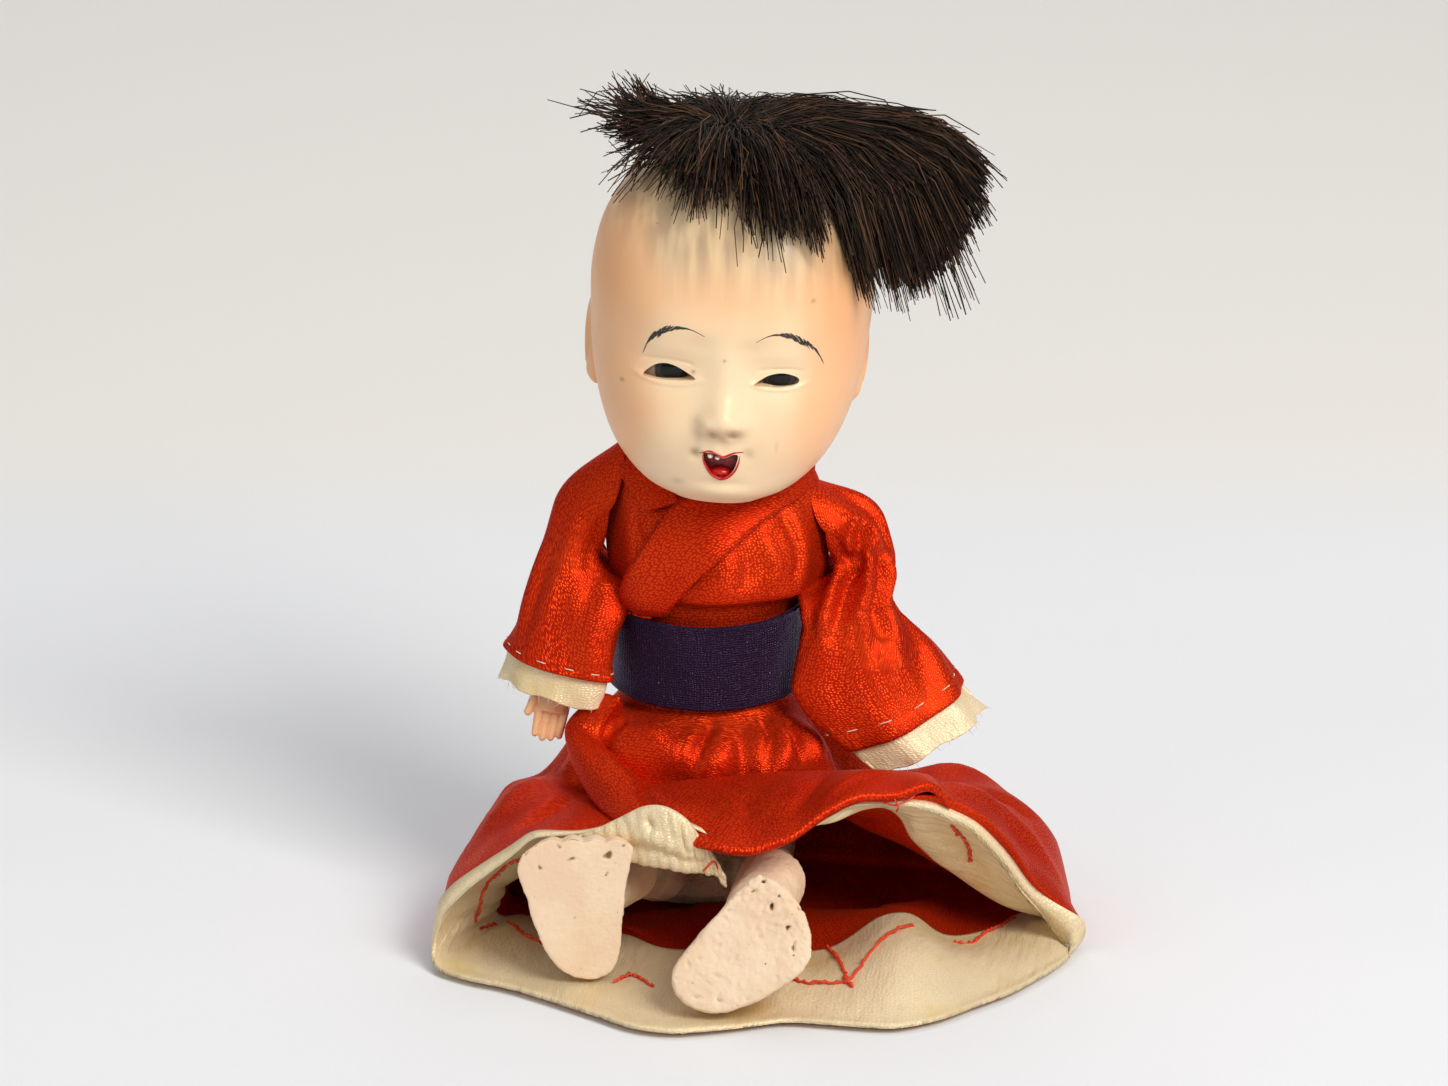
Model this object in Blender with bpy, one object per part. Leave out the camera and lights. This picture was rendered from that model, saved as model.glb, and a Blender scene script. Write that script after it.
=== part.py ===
"""A seated ichimatsu baby doll in a red silk kimono with a cream lining and a purple obi.

Sizes are in millimetres and are turned into metres when a mesh is made. +Z is up, +X is the
doll's left, and the doll faces -Y. The origin is on the table, under the trunk.
"""

import math

import bmesh
import bpy
from mathutils import Euler, Matrix, Vector

MM = 0.001
SIDES = {"right": -1.0, "left": 1.0}

# Cloth and clearances
SILK = 0.5
LINING_SILK = 0.4
OBI_RIBBON = 0.8
CLEAR = 0.3
LAYER_CLEAR = 0.45

# Trunk
TRUNK_ROWS = (
    # height, half width, half depth
    (1.7, 8.4, 6.4),
    (3.2, 10.0, 7.8),
    (8.0, 10.8, 8.4),
    (16.0, 10.2, 8.0),
    (24.0, 9.3, 7.5),
    (31.0, 9.1, 7.3),
    (38.0, 9.1, 7.3),
    (43.6, 9.2, 7.0),
    (47.4, 8.2, 6.1),
    (50.0, 6.0, 5.0),
    (51.4, 4.9, 4.6),
)
TRUNK_Y = 0.1
TRUNK_AROUND_COUNT = 18
NECK_X = 1.6
NECK_RADIUS = 3.4
NECK_PLUG_FOOT = 47.0
NECK_LEAN_FROM = 40.0

# Head, in its own frame: origin at the middle of the skull
HEAD_PLACE = Vector((2.8, -2.0, 74.2))
HEAD_TURN = math.radians(-3.0)
HEAD_ROLL = math.radians(3.5)
HEAD_SECTION_POWER = 2.25
HEAD_AROUND_COUNT = 36
HEAD_FRONT_CROWDING = 0.62
HEAD_ROWS = (
    # height, half width, front reach, back reach, samples up to the next row
    (-19.9, 5.0, -13.0, -4.8, 2),
    (-18.4, 8.7, -14.5, 0.6, 2),
    (-15.5, 12.0, -15.7, 7.0, 3),
    (-11.5, 14.3, -16.6, 12.0, 4),
    (-6.0, 15.9, -17.0, 16.5, 4),
    (0.0, 16.6, -17.1, 19.0, 2),
    (6.0, 16.7, -16.7, 19.0, 2),
    (12.0, 15.2, -14.9, 16.8, 2),
    (16.8, 11.4, -11.3, 12.5, 2),
    (19.3, 6.0, -6.3, 7.4, 1),
)
CHIN_TIP = Vector((0.0, -8.8, -20.3))
CROWN_TIP = Vector((0.0, 0.6, 20.1))
FACE_CENTRE_X = -0.9
FACE_RELIEF = (
    # across, height, half spread across, half spread up, push forward
    (0.0, -8.6, 1.7, 1.8, 1.9),
    (0.0, -5.0, 1.5, 3.6, 0.9),
    (-2.1, -9.1, 1.1, 1.0, 0.7),
    (2.1, -9.1, 1.1, 1.0, 0.7),
    (-6.3, -2.9, 3.4, 1.9, -0.8),
    (6.3, -2.9, 3.4, 1.9, -0.8),
    (-6.0, 1.8, 4.2, 1.8, 0.5),
    (6.0, 1.8, 4.2, 1.8, 0.5),
    (-8.6, -10.4, 4.0, 3.8, 1.0),
    (8.6, -10.4, 4.0, 3.8, 1.0),
    (0.0, -13.6, 3.0, 2.2, 0.9),
    (0.0, -18.0, 2.8, 1.5, 0.8),
    (0.0, -16.4, 2.4, 0.8, -0.4),
)

# Eyes and mouth, set into the face
EYES = {
    # side: centre across, height, half length, half height, tilt in degrees
    "right": (-6.4, -3.7, 3.1, 1.05, -4.0),
    "left": (6.3, -3.9, 2.8, 0.95, 3.0),
}
EYE_SOCKET_DEPTH = 2.2
EYE_SINK = 0.7
EYE_THICK = 1.0
EYE_CLEAR = 0.4
MOUTH_CENTRE = (-0.2, -13.2)
MOUTH_HALF_WIDTH = 2.1
MOUTH_DROP = 2.5
MOUTH_DEPTH = 2.2
LIP_BOW = 0.35
TOOTH_HALF_WIDTH = 0.5
TOOTH_DROP = 0.75

# Ears
EAR_PLACE = (15.4, 2.0, -4.6)
EAR_HALF = (1.7, 2.9, 5.6)
EAR_STAND_OFF = {"right": 0.1, "left": -0.7}
EAR_LEAN = 14.0
EAR_BOWL = (1.1, 1.8, 3.6)
EAR_BOWL_SHIFT = (1.3, -0.9, 0.5)

# Hair tuft, glued into a hole in the crown
HAIR_HOLE_RADIUS = 2.4
HAIR_HOLE_DEPTH = 3.5
HAIR_ROOT = Vector((2.6, -1.2, 95.0))
HAIR_LOCKS = (
    # tip, rise at the start, rise further on, half width, half thickness
    # the long bundle that sweeps over the left temple and is cut straight
    ((24.0, -1.0, 96.8), 3.6, 2.4, 2.4, 1.7),
    ((29.4, -1.5, 92.8), 4.2, 3.2, 2.6, 2.1),
    ((32.6, -2.6, 88.8), 4.0, 3.8, 2.8, 2.3),
    ((33.0, -4.0, 84.6), 3.6, 3.8, 2.9, 2.3),
    ((31.0, -5.4, 80.6), 3.2, 3.8, 2.9, 2.3),
    ((28.0, -6.4, 77.4), 2.8, 3.6, 2.9, 2.2),
    ((24.4, -7.6, 76.2), 2.4, 3.4, 2.9, 2.1),
    ((20.8, -9.4, 77.4), 2.0, 3.2, 2.8, 1.9),
    ((18.2, -13.4, 81.0), 2.0, 2.8, 2.4, 1.5),
    ((27.6, 3.4, 87.0), 3.6, 3.2, 2.8, 2.0),
    ((25.6, 4.6, 81.0), 3.0, 3.0, 2.7, 1.9),
    # the locks that fall over the forehead
    ((13.2, -17.8, 84.2), 1.8, 2.0, 1.9, 1.2),
    ((8.6, -19.2, 86.6), 1.8, 1.8, 1.8, 1.1),
    ((3.6, -18.6, 87.8), 1.8, 1.6, 1.7, 1.0),
    ((-1.6, -17.2, 88.6), 1.8, 1.4, 1.8, 1.1),
    ((-6.0, -13.6, 89.8), 1.8, 1.2, 1.9, 1.1),
    # the short spikes on the other side and behind
    ((-10.8, -6.0, 93.8), 2.0, 1.2, 1.7, 1.1),
    ((-11.8, -2.0, 96.4), 2.2, 1.6, 1.6, 1.1),
    ((-9.0, 1.0, 100.6), 2.2, 2.0, 1.5, 1.0),
    ((-8.6, 5.8, 95.6), 2.0, 1.6, 1.8, 1.2),
    ((-1.4, 11.0, 95.8), 2.0, 1.8, 2.1, 1.4),
    ((7.0, 13.4, 94.4), 2.2, 2.0, 2.2, 1.4),
    ((14.8, 11.0, 93.4), 2.6, 2.4, 2.3, 1.5),
)
HAIR_AROUND_COUNT = 5
HAIR_TAPER = (0.8, 1.0, 1.0, 0.6)

# Limbs: the cloth part ends this far short of the paste part
LIMB_GAP = 0.5

# Arms: shoulder, elbow and wrist from the sleeve's seam, then the hand
ARM_POINTS = {
    "right": (Vector((-0.5, 0.2, 1.6)), Vector((-4.3, -4.5, -9.6)), Vector((-5.0, -6.5, -19.0))),
    "left": (Vector((1.5, 0.2, 2.0)), Vector((3.5, -3.9, -9.4)), Vector((7.2, -7.4, -20.8))),
}
CLOTH_ARM_RADIUS = 1.45
FOREARM_RADIUS = 1.6
WRIST_RADIUS = 1.45
PALM_LENGTH = 3.6
PALM_HALF_WIDTH = 2.2
PALM_HALF_THICK = 1.3
FINGER_LENGTH = 3.6
FINGER_RADIUS = 0.62
THUMB_LENGTH = 3.4
THUMB_RADIUS = 0.7
HAND_HANG = {"right": Vector((-0.22, -0.16, -1.0)), "left": Vector((0.10, -0.30, -1.0))}
THUMB_SIDE = {"right": -1.0, "left": 1.0}

# Legs: hip and knee, then the foot
LEG_POINTS = {
    "right": (Vector((-5.8, -10.6, 7.4)), Vector((-9.4, -18.4, 10.4))),
    "left": (Vector((5.8, -10.6, 7.4)), Vector((7.6, -22.4, 10.2))),
}
CLOTH_THIGH_RADIUS = 3.7
KNEE_RADIUS = 4.1
ANKLE_RADIUS = 3.1
SOLE_OUTLINE = (
    # across (towards the big toe is plus), along from heel to toes
    (0.2, 0.0), (2.6, 0.6), (4.0, 2.6), (4.4, 8.0), (4.6, 13.4), (4.2, 17.0),
    (0.6, 17.9), (-3.2, 17.0), (-6.4, 14.9), (-7.1, 11.6), (-5.7, 5.8), (-3.2, 1.4),
)
SOLE_SAMPLE_COUNT = 26
SOLE_EDGE = 0.45
TOE_COUNT = 5
TOE_SCALLOP = 0.45
FOOT_THICK = 6.4
SOLE_PLACE = {
    # side: heel point of the sole, roll of the sole in degrees, lean back in degrees, yaw
    "right": (Vector((-14.2, -34.4, 1.75)), 1.0, 3.0, 2.0),
    "left": (Vector((-2.6, -46.2, 2.95)), 42.0, 10.0, -6.0),
}

# Kimono bodice
BODICE_ROWS = (
    # height, middle across, middle front to back, half width, half depth, front dip
    (31.0, 0.0, 0.0, 10.2, 8.4, 0.0),
    (39.0, 0.3, 0.0, 10.4, 8.7, 0.0),
    (41.4, 1.2, -0.2, 12.3, 10.4, 0.5),
    (46.0, 1.3, 0.0, 13.0, 10.0, 0.5),
    (50.8, 1.2, 0.8, 13.1, 8.9, 0.4),
    (54.2, 1.1, 1.5, 12.4, 7.6, 1.4),
    (56.2, 1.2, 1.9, 10.6, 6.9, 3.2),
    (56.4, 1.4, 2.0, 8.6, 6.5, 4.7),
)
SHOULDER_SLOPE = 0.10
SHOULDER_SLOPE_FROM = 44.0
BODICE_AROUND_COUNT = 30
BODICE_STEPS = (1, 1, 2, 2, 2, 1, 1)
BODICE_FOLD = 0.28
BODICE_FOLD_COUNT = 8
ARMHOLE_RADIUS = 2.7

# Collar band, laid over the bodice; each edge runs as (angle in degrees from the front, row)
COLLAR_THICK = 0.5
COLLAR_ACROSS_COUNT = 3
COLLAR_NECK_EDGE = (
    (-17.0, 4.30), (-34.0, 5.30), (-62.0, 6.45), (-110.0, 6.80), (180.0, 6.85), (110.0, 6.80),
    (62.0, 6.45), (30.0, 5.70), (4.0, 4.95), (-20.0, 4.25), (-44.0, 2.90), (-64.0, 1.40),
)
COLLAR_OUTER_EDGE = (
    (-38.0, 3.90), (-58.0, 4.70), (-80.0, 5.65), (-118.0, 5.90), (180.0, 5.95), (118.0, 5.90),
    (80.0, 5.60), (52.0, 4.80), (26.0, 4.00), (2.0, 3.10), (-20.0, 2.10), (-38.0, 1.25),
)
COLLAR_SAMPLE_COUNT = 28

# Sleeves: the seam's middle lies beside a row of the bodice, and each ring has a middle from
# there, a reach to the sleeve's outer edge, a reach to its back, and how far its front and back
# bend in towards the bodice
SEAM_ROW = 4
SEAM_STAND_OFF = {"right": 1.0, "left": 1.1}
SEAM_BACK = 0.8
SEAM_DROP = {"right": 2.2, "left": 3.2}
SLEEVE_RINGS = {
    "right": (
        (Vector((0.0, 0.0, 1.5)), Vector((0.2, 0.0, 6.4)), Vector((0.0, 4.5, 0.0)), 1.3),
        (Vector((-2.4, -0.6, -1.7)), Vector((-1.9, 0.9, 5.2)), Vector((0.4, 4.7, 0.0)), 0.3),
        (Vector((-2.8, -2.8, -5.4)), Vector((-3.6, 2.2, 2.3)), Vector((1.8, 3.4, 0.0)), 0.0),
        (Vector((-3.6, -4.8, -9.9)), Vector((-5.2, 2.9, 0.7)), Vector((1.7, 3.2, 0.0)), 0.0),
        (Vector((-4.3, -5.7, -13.9)), Vector((-5.9, 2.8, 1.1)), Vector((1.6, 3.4, 0.0)), 0.0),
        (Vector((-4.9, -6.1, -16.7)), Vector((-6.5, 2.7, 1.45)), Vector((1.5, 3.6, 0.0)), 0.0),
    ),
    "left": (
        (Vector((0.0, 0.0, 0.0)), Vector((-0.2, 0.0, 5.0)), Vector((0.0, 4.5, 0.0)), 1.3),
        (Vector((2.4, -0.6, -2.2)), Vector((2.0, 0.8, 4.6)), Vector((-0.4, 4.7, 0.0)), 0.3),
        (Vector((2.9, -3.0, -5.4)), Vector((3.4, 2.4, 2.1)), Vector((-1.8, 3.5, 0.0)), 0.0),
        (Vector((2.3, -4.8, -9.6)), Vector((3.9, 3.0, 1.0)), Vector((-1.9, 3.4, 0.0)), 0.0),
        (Vector((5.3, -6.3, -16.2)), Vector((6.4, 3.6, 2.4)), Vector((-2.0, 3.5, 0.0)), 0.0),
        (Vector((8.4, -7.3, -21.9)), Vector((6.8, 3.5, 3.3)), Vector((-2.0, 3.6, 0.0)), 0.0),
    ),
}
SLEEVE_AROUND_COUNT = 18
SLEEVE_STEP_COUNT = 2
SLEEVE_FOLD = 0.045
SLEEVE_FOLD_COUNT = {"right": 4, "left": 6}
CUFF_SHOWS = {"right": 3.4, "left": 3.8}

# Kimono skirt: rings from the waist to the hem, twelve points each, from the front round
# by the doll's left; a ring starts as an ellipse round the waist and ends as the open hem.
# The rings give the drape, which is spread sideways and forwards to the hem's own sizes
HEM_SPREAD = 75.4
HEM_REACH = 49.0
SPREAD_FROM_RING = 3
WAIST_RING = (30.6, 10.2, 8.4)
UNDER_OBI_RING = (26.9, 10.7, 9.3)
SKIRT_RINGS = (
    ((0.0, -11.4, 24.6), (6.4, -11.0, 24.4), (11.2, -8.4, 23.8), (13.8, -3.0, 22.6),
     (13.4, 3.2, 22.0), (8.8, 8.6, 21.6), (0.0, 10.6, 21.8), (-8.8, 8.6, 22.0),
     (-13.6, 3.0, 22.6), (-14.6, -3.4, 24.0), (-12.0, -8.8, 25.0), (-6.4, -11.2, 25.0)),
    ((0.0, -14.4, 19.4), (7.0, -13.8, 18.8), (13.2, -10.6, 18.0), (18.6, -4.2, 17.2),
     (20.4, 3.0, 16.0), (12.6, 9.8, 12.4), (0.0, 12.6, 12.4), (-12.6, 9.8, 12.8),
     (-18.6, 3.0, 15.6), (-19.0, -4.4, 18.2), (-13.0, -10.4, 18.8), (-7.0, -13.8, 19.4)),
    ((1.0, -20.0, 17.4), (9.0, -19.8, 18.4), (17.6, -16.2, 17.6), (25.8, -8.2, 18.0),
     (32.6, 2.0, 15.2), (21.6, 12.4, 5.0), (0.0, 14.6, 4.6), (-17.4, 12.0, 5.0),
     (-23.8, 3.6, 12.4), (-23.6, -6.4, 17.0), (-16.0, -15.6, 18.4), (-8.0, -19.0, 18.6)),
    ((2.0, -25.0, 17.0), (11.0, -23.0, 20.2), (21.2, -20.4, 20.8), (33.4, -11.6, 18.8),
     (41.6, 3.0, 7.2), (31.6, 9.0, 0.0), (0.0, 12.6, 0.0), (-21.6, 9.0, 0.0),
     (-27.8, 1.6, 5.2), (-28.2, -11.6, 12.0), (-19.2, -20.8, 17.6), (-9.0, -23.2, 18.8)),
    ((3.0, -29.0, 17.0), (12.4, -26.4, 19.8), (23.4, -22.8, 20.4), (37.4, -15.6, 14.2),
     (43.4, -4.6, 4.4), (35.6, -8.0, 0.0), (0.0, -14.0, 0.0), (-25.6, -8.0, 0.0),
     (-31.0, -8.6, 3.4), (-30.0, -18.2, 9.6), (-20.4, -24.8, 16.8), (-8.0, -26.8, 19.2)),
    ((3.9, -32.6, 17.0), (12.6, -29.2, 19.4), (25.4, -24.4, 19.6), (37.6, -19.2, 11.4),
     (42.8, -20.0, 2.6), (33.6, -36.6, 0.0), (4.0, -49.0, 0.0), (-21.6, -40.2, 0.0),
     (-32.0, -24.6, 2.6), (-29.2, -25.4, 9.2), (-20.6, -27.6, 16.8), (-6.8, -29.4, 20.2)),
)
SKIRT_AROUND_COUNT = 36
SKIRT_STEPS = (1, 1, 2, 2, 2, 2, 4)
GATHER_COUNT = 10
GATHER_DEPTH = 0.55
HEM_BAND_RING_COUNT = 4
HEM_LAPS_OUT = 0.4

# Obi
OBI_FOOT = 27.3
OBI_HEIGHT = 10.4
OBI_HALF_WIDTH = UNDER_OBI_RING[1] + CLEAR + OBI_RIBBON
OBI_HALF_DEPTH = UNDER_OBI_RING[2] + CLEAR + OBI_RIBBON
OBI_SIDE_RISE = 1.1
OBI_AROUND_COUNT = 36

# Finishes: colour, roughness and metallic value
FINISHES = {
    "gofun_skin": ((0.86, 0.66, 0.45), 0.38, 0.0),
    "gofun_foot": ((0.80, 0.66, 0.52), 0.75, 0.0),
    "eye_glass": ((0.015, 0.012, 0.012), 0.08, 0.0),
    "black_hair": ((0.018, 0.013, 0.011), 0.45, 0.0),
    "body_paste": ((0.62, 0.50, 0.36), 0.8, 0.0),
    "limb_cloth": ((0.70, 0.62, 0.48), 0.9, 0.0),
    "red_silk": ((0.62, 0.025, 0.008), 0.42, 0.0),
    "cream_silk": ((0.74, 0.58, 0.36), 0.45, 0.0),
    "purple_ribbon": ((0.045, 0.018, 0.085), 0.4, 0.0),
}


def catmull(before, start, end, after, t):
    """A point between start and end on a Catmull-Rom curve, for numbers or vectors."""
    return 0.5 * (
        2.0 * start
        + (end - before) * t
        + (2.0 * before - 5.0 * start + 4.0 * end - after) * t * t
        + (3.0 * start - before - 3.0 * end + after) * t * t * t
    )


def along_open(values, t):
    """The curve through the values, read at t, where whole numbers are the values themselves."""
    last = len(values) - 1
    i = min(max(int(math.floor(t)), 0), last - 1)
    before = values[i - 1] if i > 0 else 2.0 * values[0] - values[1]
    after = values[i + 2] if i + 2 <= last else 2.0 * values[last] - values[last - 1]
    return catmull(before, values[i], values[i + 1], after, t - i)


def along_closed(values, t):
    """The same for a ring that closes on itself."""
    count = len(values)
    i = int(math.floor(t))
    near = [values[(i + k) % count] for k in (-1, 0, 1, 2)]
    return catmull(*near, t - i)


def stepped(steps):
    """Places along a table of rows, with so many steps from each row to the next."""
    places = [row + k / count for row, count in enumerate(steps) for k in range(count)]
    return [*places, float(len(steps))]


def smooth_step(low, high, value):
    """0 below low, 1 above high, and a smooth ramp between them."""
    t = min(max((value - low) / (high - low), 0.0), 1.0)
    return t * t * (3.0 - 2.0 * t)


def finish_material(slot):
    """The Principled material of one finish."""
    found = bpy.data.materials.get(slot)
    if found:
        return found
    colour, roughness, metallic = FINISHES[slot]
    material = bpy.data.materials.new(slot)
    material.use_nodes = True
    shader = material.node_tree.nodes["Principled BSDF"]
    shader.inputs["Base Color"].default_value = (*colour, 1.0)
    shader.inputs["Roughness"].default_value = roughness
    shader.inputs["Metallic"].default_value = metallic
    material.diffuse_color = (*colour, 1.0)
    return material


def make_object(name, mesh_maker, slot=None, helper=False):
    """An object from a bmesh in millimetres. A helper is a cutter or a piece to be joined."""
    scale = Matrix.Scale(MM, 4)
    bmesh.ops.transform(mesh_maker, matrix=scale, verts=mesh_maker.verts)
    mesh = bpy.data.meshes.new(name)
    mesh_maker.to_mesh(mesh)
    mesh_maker.free()
    thing = bpy.data.objects.new(name, mesh)
    bpy.context.scene.collection.objects.link(thing)
    if slot:
        mesh.materials.append(finish_material(slot))
    if helper:
        thing.hide_render = True
        thing.display_type = "WIRE"
    mesh.shade_smooth()
    mesh.set_sharp_from_angle(angle=math.radians(50.0))
    return thing


def loft(rings, cap_start=True, cap_end=True, start_tip=None, end_tip=None):
    """A bmesh skinned over rings of equal count. An end closes on a flat cap or on a tip."""
    maker = bmesh.new()
    rows = [[maker.verts.new(p) for p in ring] for ring in rings]
    for low, high in zip(rows, rows[1:]):
        for i in range(len(low)):
            j = (i + 1) % len(low)
            maker.faces.new((low[i], low[j], high[j], high[i]))
    for row, capped, tip in ((rows[0], cap_start, start_tip), (rows[-1], cap_end, end_tip)):
        if tip is not None:
            point = maker.verts.new(tip)
            for i in range(len(row)):
                maker.faces.new((row[i], row[(i + 1) % len(row)], point))
        elif capped:
            maker.faces.new(row)
    bmesh.ops.recalc_face_normals(maker, faces=maker.faces)
    return maker


def frame_along(direction, side_hint):
    """Two unit vectors square to a direction: one as near as can be to the hint, and the other."""
    forward = direction.normalized()
    across = (side_hint - forward * side_hint.dot(forward)).normalized()
    return across, forward.cross(across)


def ellipse_ring(centre, across, other, half_across, half_other, count, ridge=0.0, ridges=1):
    """A ring round a centre, with optional ridges that run along the loft."""
    ring = []
    for i in range(count):
        angle = math.tau * i / count
        swell = 1.0 + ridge * math.cos(ridges * angle)
        ring.append(
            centre
            + across * (half_across * swell * math.cos(angle))
            + other * (half_other * swell * math.sin(angle))
        )
    return ring


def tube_rings(points, half_widths, half_thicks, hint, count, steps, ridge=0.0, ridges=1,
               start=0.0, end=None):
    """Elliptical rings along a smooth path, or along the part of it from start to end."""
    rings = []
    last = len(points) - 1
    end = last if end is None else end
    pieces = max(1, round((end - start) * steps))
    for k in range(pieces + 1):
        t = start + (end - start) * k / pieces
        step = 0.01
        here = along_open(points, t)
        ahead = along_open(points, min(t + step, last))
        behind = along_open(points, max(t - step, 0.0))
        across, other = frame_along(ahead - behind, hint)
        rings.append(
            ellipse_ring(
                here, across, other, along_open(half_widths, t), along_open(half_thicks, t),
                count, ridge, ridges,
            )
        )
    return rings


def boolean(thing, other, operation, crosses_itself=False):
    """Adds a Boolean modifier with the exact solver."""
    modifier = thing.modifiers.new(f"{operation.lower()} {other.name}", "BOOLEAN")
    modifier.operation = operation
    modifier.object = other
    modifier.solver = "EXACT"
    modifier.use_self = crosses_itself


def wall(thing, thickness):
    """Gives an open shell its wall, towards the inside."""
    modifier = thing.modifiers.new("wall", "SOLIDIFY")
    modifier.thickness = thickness * MM
    modifier.offset = -1.0
    modifier.use_rim = True


def ring_turn(ring):
    """The area vector of a ring: its direction tells which way the ring runs."""
    middle = sum(ring, Vector()) / len(ring)
    return sum(((p - middle).cross(q - middle) for p, q in zip(ring, ring[1:] + ring[:1])), Vector())


def offset_inward(rings, distance):
    """The rings of an open loft, moved in square to its surface."""
    count = len(rings[0])
    travel = sum(rings[-1], Vector()) - sum(rings[0], Vector())
    sense = math.copysign(1.0, ring_turn(rings[0]).dot(travel))
    moved = []
    for k, ring in enumerate(rings):
        up = rings[min(k + 1, len(rings) - 1)]
        down = rings[max(k - 1, 0)]
        new_ring = []
        for i, point in enumerate(ring):
            around = ring[(i + 1) % count] - ring[i - 1]
            along = up[i] - down[i]
            normal = along.cross(around).normalized()
            new_ring.append(point + normal * distance * sense)
        moved.append(new_ring)
    return moved


def head_matrix():
    """Head frame to doll frame."""
    return Matrix.Translation(HEAD_PLACE) @ Euler((0.0, HEAD_ROLL, HEAD_TURN)).to_matrix().to_4x4()


def face_push(x, z):
    """How far the face stands forward of the plain skull at a place on it."""
    push = 0.0
    for across, height, spread_x, spread_z, forward in FACE_RELIEF:
        dx = (x - FACE_CENTRE_X - across) / spread_x
        dz = (z - height) / spread_z
        push += forward * math.exp(-0.5 * (dx * dx + dz * dz))
    return push


def skull_point(row, angle):
    """A point of the head's surface, at an angle from the face round to the doll's left."""
    z, half_width, front, back = row
    power = 2.0 / HEAD_SECTION_POWER
    sine, cosine = math.sin(angle), math.cos(angle)
    x = half_width * math.copysign(abs(sine) ** power, sine)
    reach = math.copysign(abs(cosine) ** power, cosine)
    middle = 0.5 * (front + back)
    y = middle - reach * (middle - front)
    facing = smooth_step(0.0, 0.55, cosine)
    return Vector((x, y - face_push(x, z) * facing, z))


def head_rings():
    """The head's rings, crowded where the features are."""
    rings = []
    for k, row in enumerate(HEAD_ROWS):
        samples = row[4] if k + 1 < len(HEAD_ROWS) else 1
        for step in range(samples):
            t = k + step / samples
            values = [along_open([r[c] for r in HEAD_ROWS], t) for c in range(4)]
            ring = []
            for i in range(HEAD_AROUND_COUNT):
                spin = math.tau * i / HEAD_AROUND_COUNT
                ring.append(skull_point(values, spin - HEAD_FRONT_CROWDING * math.sin(spin)))
            rings.append(ring)
    return rings


def face_front(x, z):
    """How far forward the face is at a place on it, in the head's frame."""
    heights = [row[0] for row in HEAD_ROWS]
    low, high = 0.0, float(len(HEAD_ROWS) - 1)
    for _ in range(40):
        middle = 0.5 * (low + high)
        if along_open(heights, middle) < z:
            low = middle
        else:
            high = middle
    half_width, front, back = (
        along_open([row[c] for row in HEAD_ROWS], low) for c in (1, 2, 3)
    )
    share = min(abs(x) / half_width, 0.999)
    reach = (1.0 - share**HEAD_SECTION_POWER) ** (1.0 / HEAD_SECTION_POWER)
    centre = 0.5 * (front + back)
    return centre - reach * (centre - front) - face_push(x, z)


def almond(half_length, half_height, count=18):
    """An eye's outline: flat below, arched above, pointed at both corners."""
    points = []
    for i in range(count):
        angle = math.tau * i / count
        x = half_length * math.cos(angle)
        lift = math.sin(angle) * (0.75 + 0.25 * abs(math.sin(angle)))
        points.append((x, half_height * lift * (1.0 if lift > 0.0 else 0.75)))
    return points


def face_prism(outline, place_x, place_z, tilt, front_y, back_y):
    """An outline on the face, carried straight back from front_y to back_y, in the head frame."""
    turn = math.radians(tilt)
    rings = []
    for y in (front_y, back_y):
        ring = []
        for a, b in outline:
            x = place_x + a * math.cos(turn) - b * math.sin(turn)
            z = place_z + a * math.sin(turn) + b * math.cos(turn)
            ring.append(Vector((x, y, z)))
        rings.append(ring)
    return loft(rings)


def mouth_outline():
    """The open mouth: bowed upper lip with two teeth below it, and a round lower edge."""
    points = []
    lip_samples = 13
    for i in range(lip_samples):
        share = i / (lip_samples - 1)
        x = MOUTH_HALF_WIDTH * (2.0 * share - 1.0)
        lip = LIP_BOW * math.cos(2.0 * math.pi * x / MOUTH_HALF_WIDTH + math.pi)
        for centre in (-0.55, 0.75):
            near = max(0.0, 1.0 - ((x - centre) / TOOTH_HALF_WIDTH) ** 2)
            lip -= TOOTH_DROP * near
        points.append((x, lip))
    chin_samples = 9
    for i in range(1, chin_samples):
        angle = math.pi * i / chin_samples
        points.append((MOUTH_HALF_WIDTH * 0.94 * math.cos(angle), -MOUTH_DROP * math.sin(angle)))
    return points


def ear_bits(side):
    """An ear lobe, and the bowl that is cut from it, in the head frame."""
    sign = SIDES[side]
    stand = EAR_STAND_OFF[side]
    place = Vector((sign * (EAR_PLACE[0] + stand), EAR_PLACE[1], EAR_PLACE[2]))
    lean = Euler((math.radians(-12.0), 0.0, sign * math.radians(-EAR_LEAN))).to_matrix().to_4x4()
    bits = []
    bowl_shift = Vector((sign * EAR_BOWL_SHIFT[0], *EAR_BOWL_SHIFT[1:]))
    for half, shift in ((EAR_HALF, Vector()), (EAR_BOWL, bowl_shift)):
        maker = bmesh.new()
        bmesh.ops.create_uvsphere(maker, u_segments=12, v_segments=9, radius=1.0)
        size = Matrix.Diagonal((*half, 1.0))
        bmesh.ops.transform(
            maker, matrix=Matrix.Translation(place + shift) @ lean @ size, verts=maker.verts
        )
        bits.append(maker)
    return bits


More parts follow.
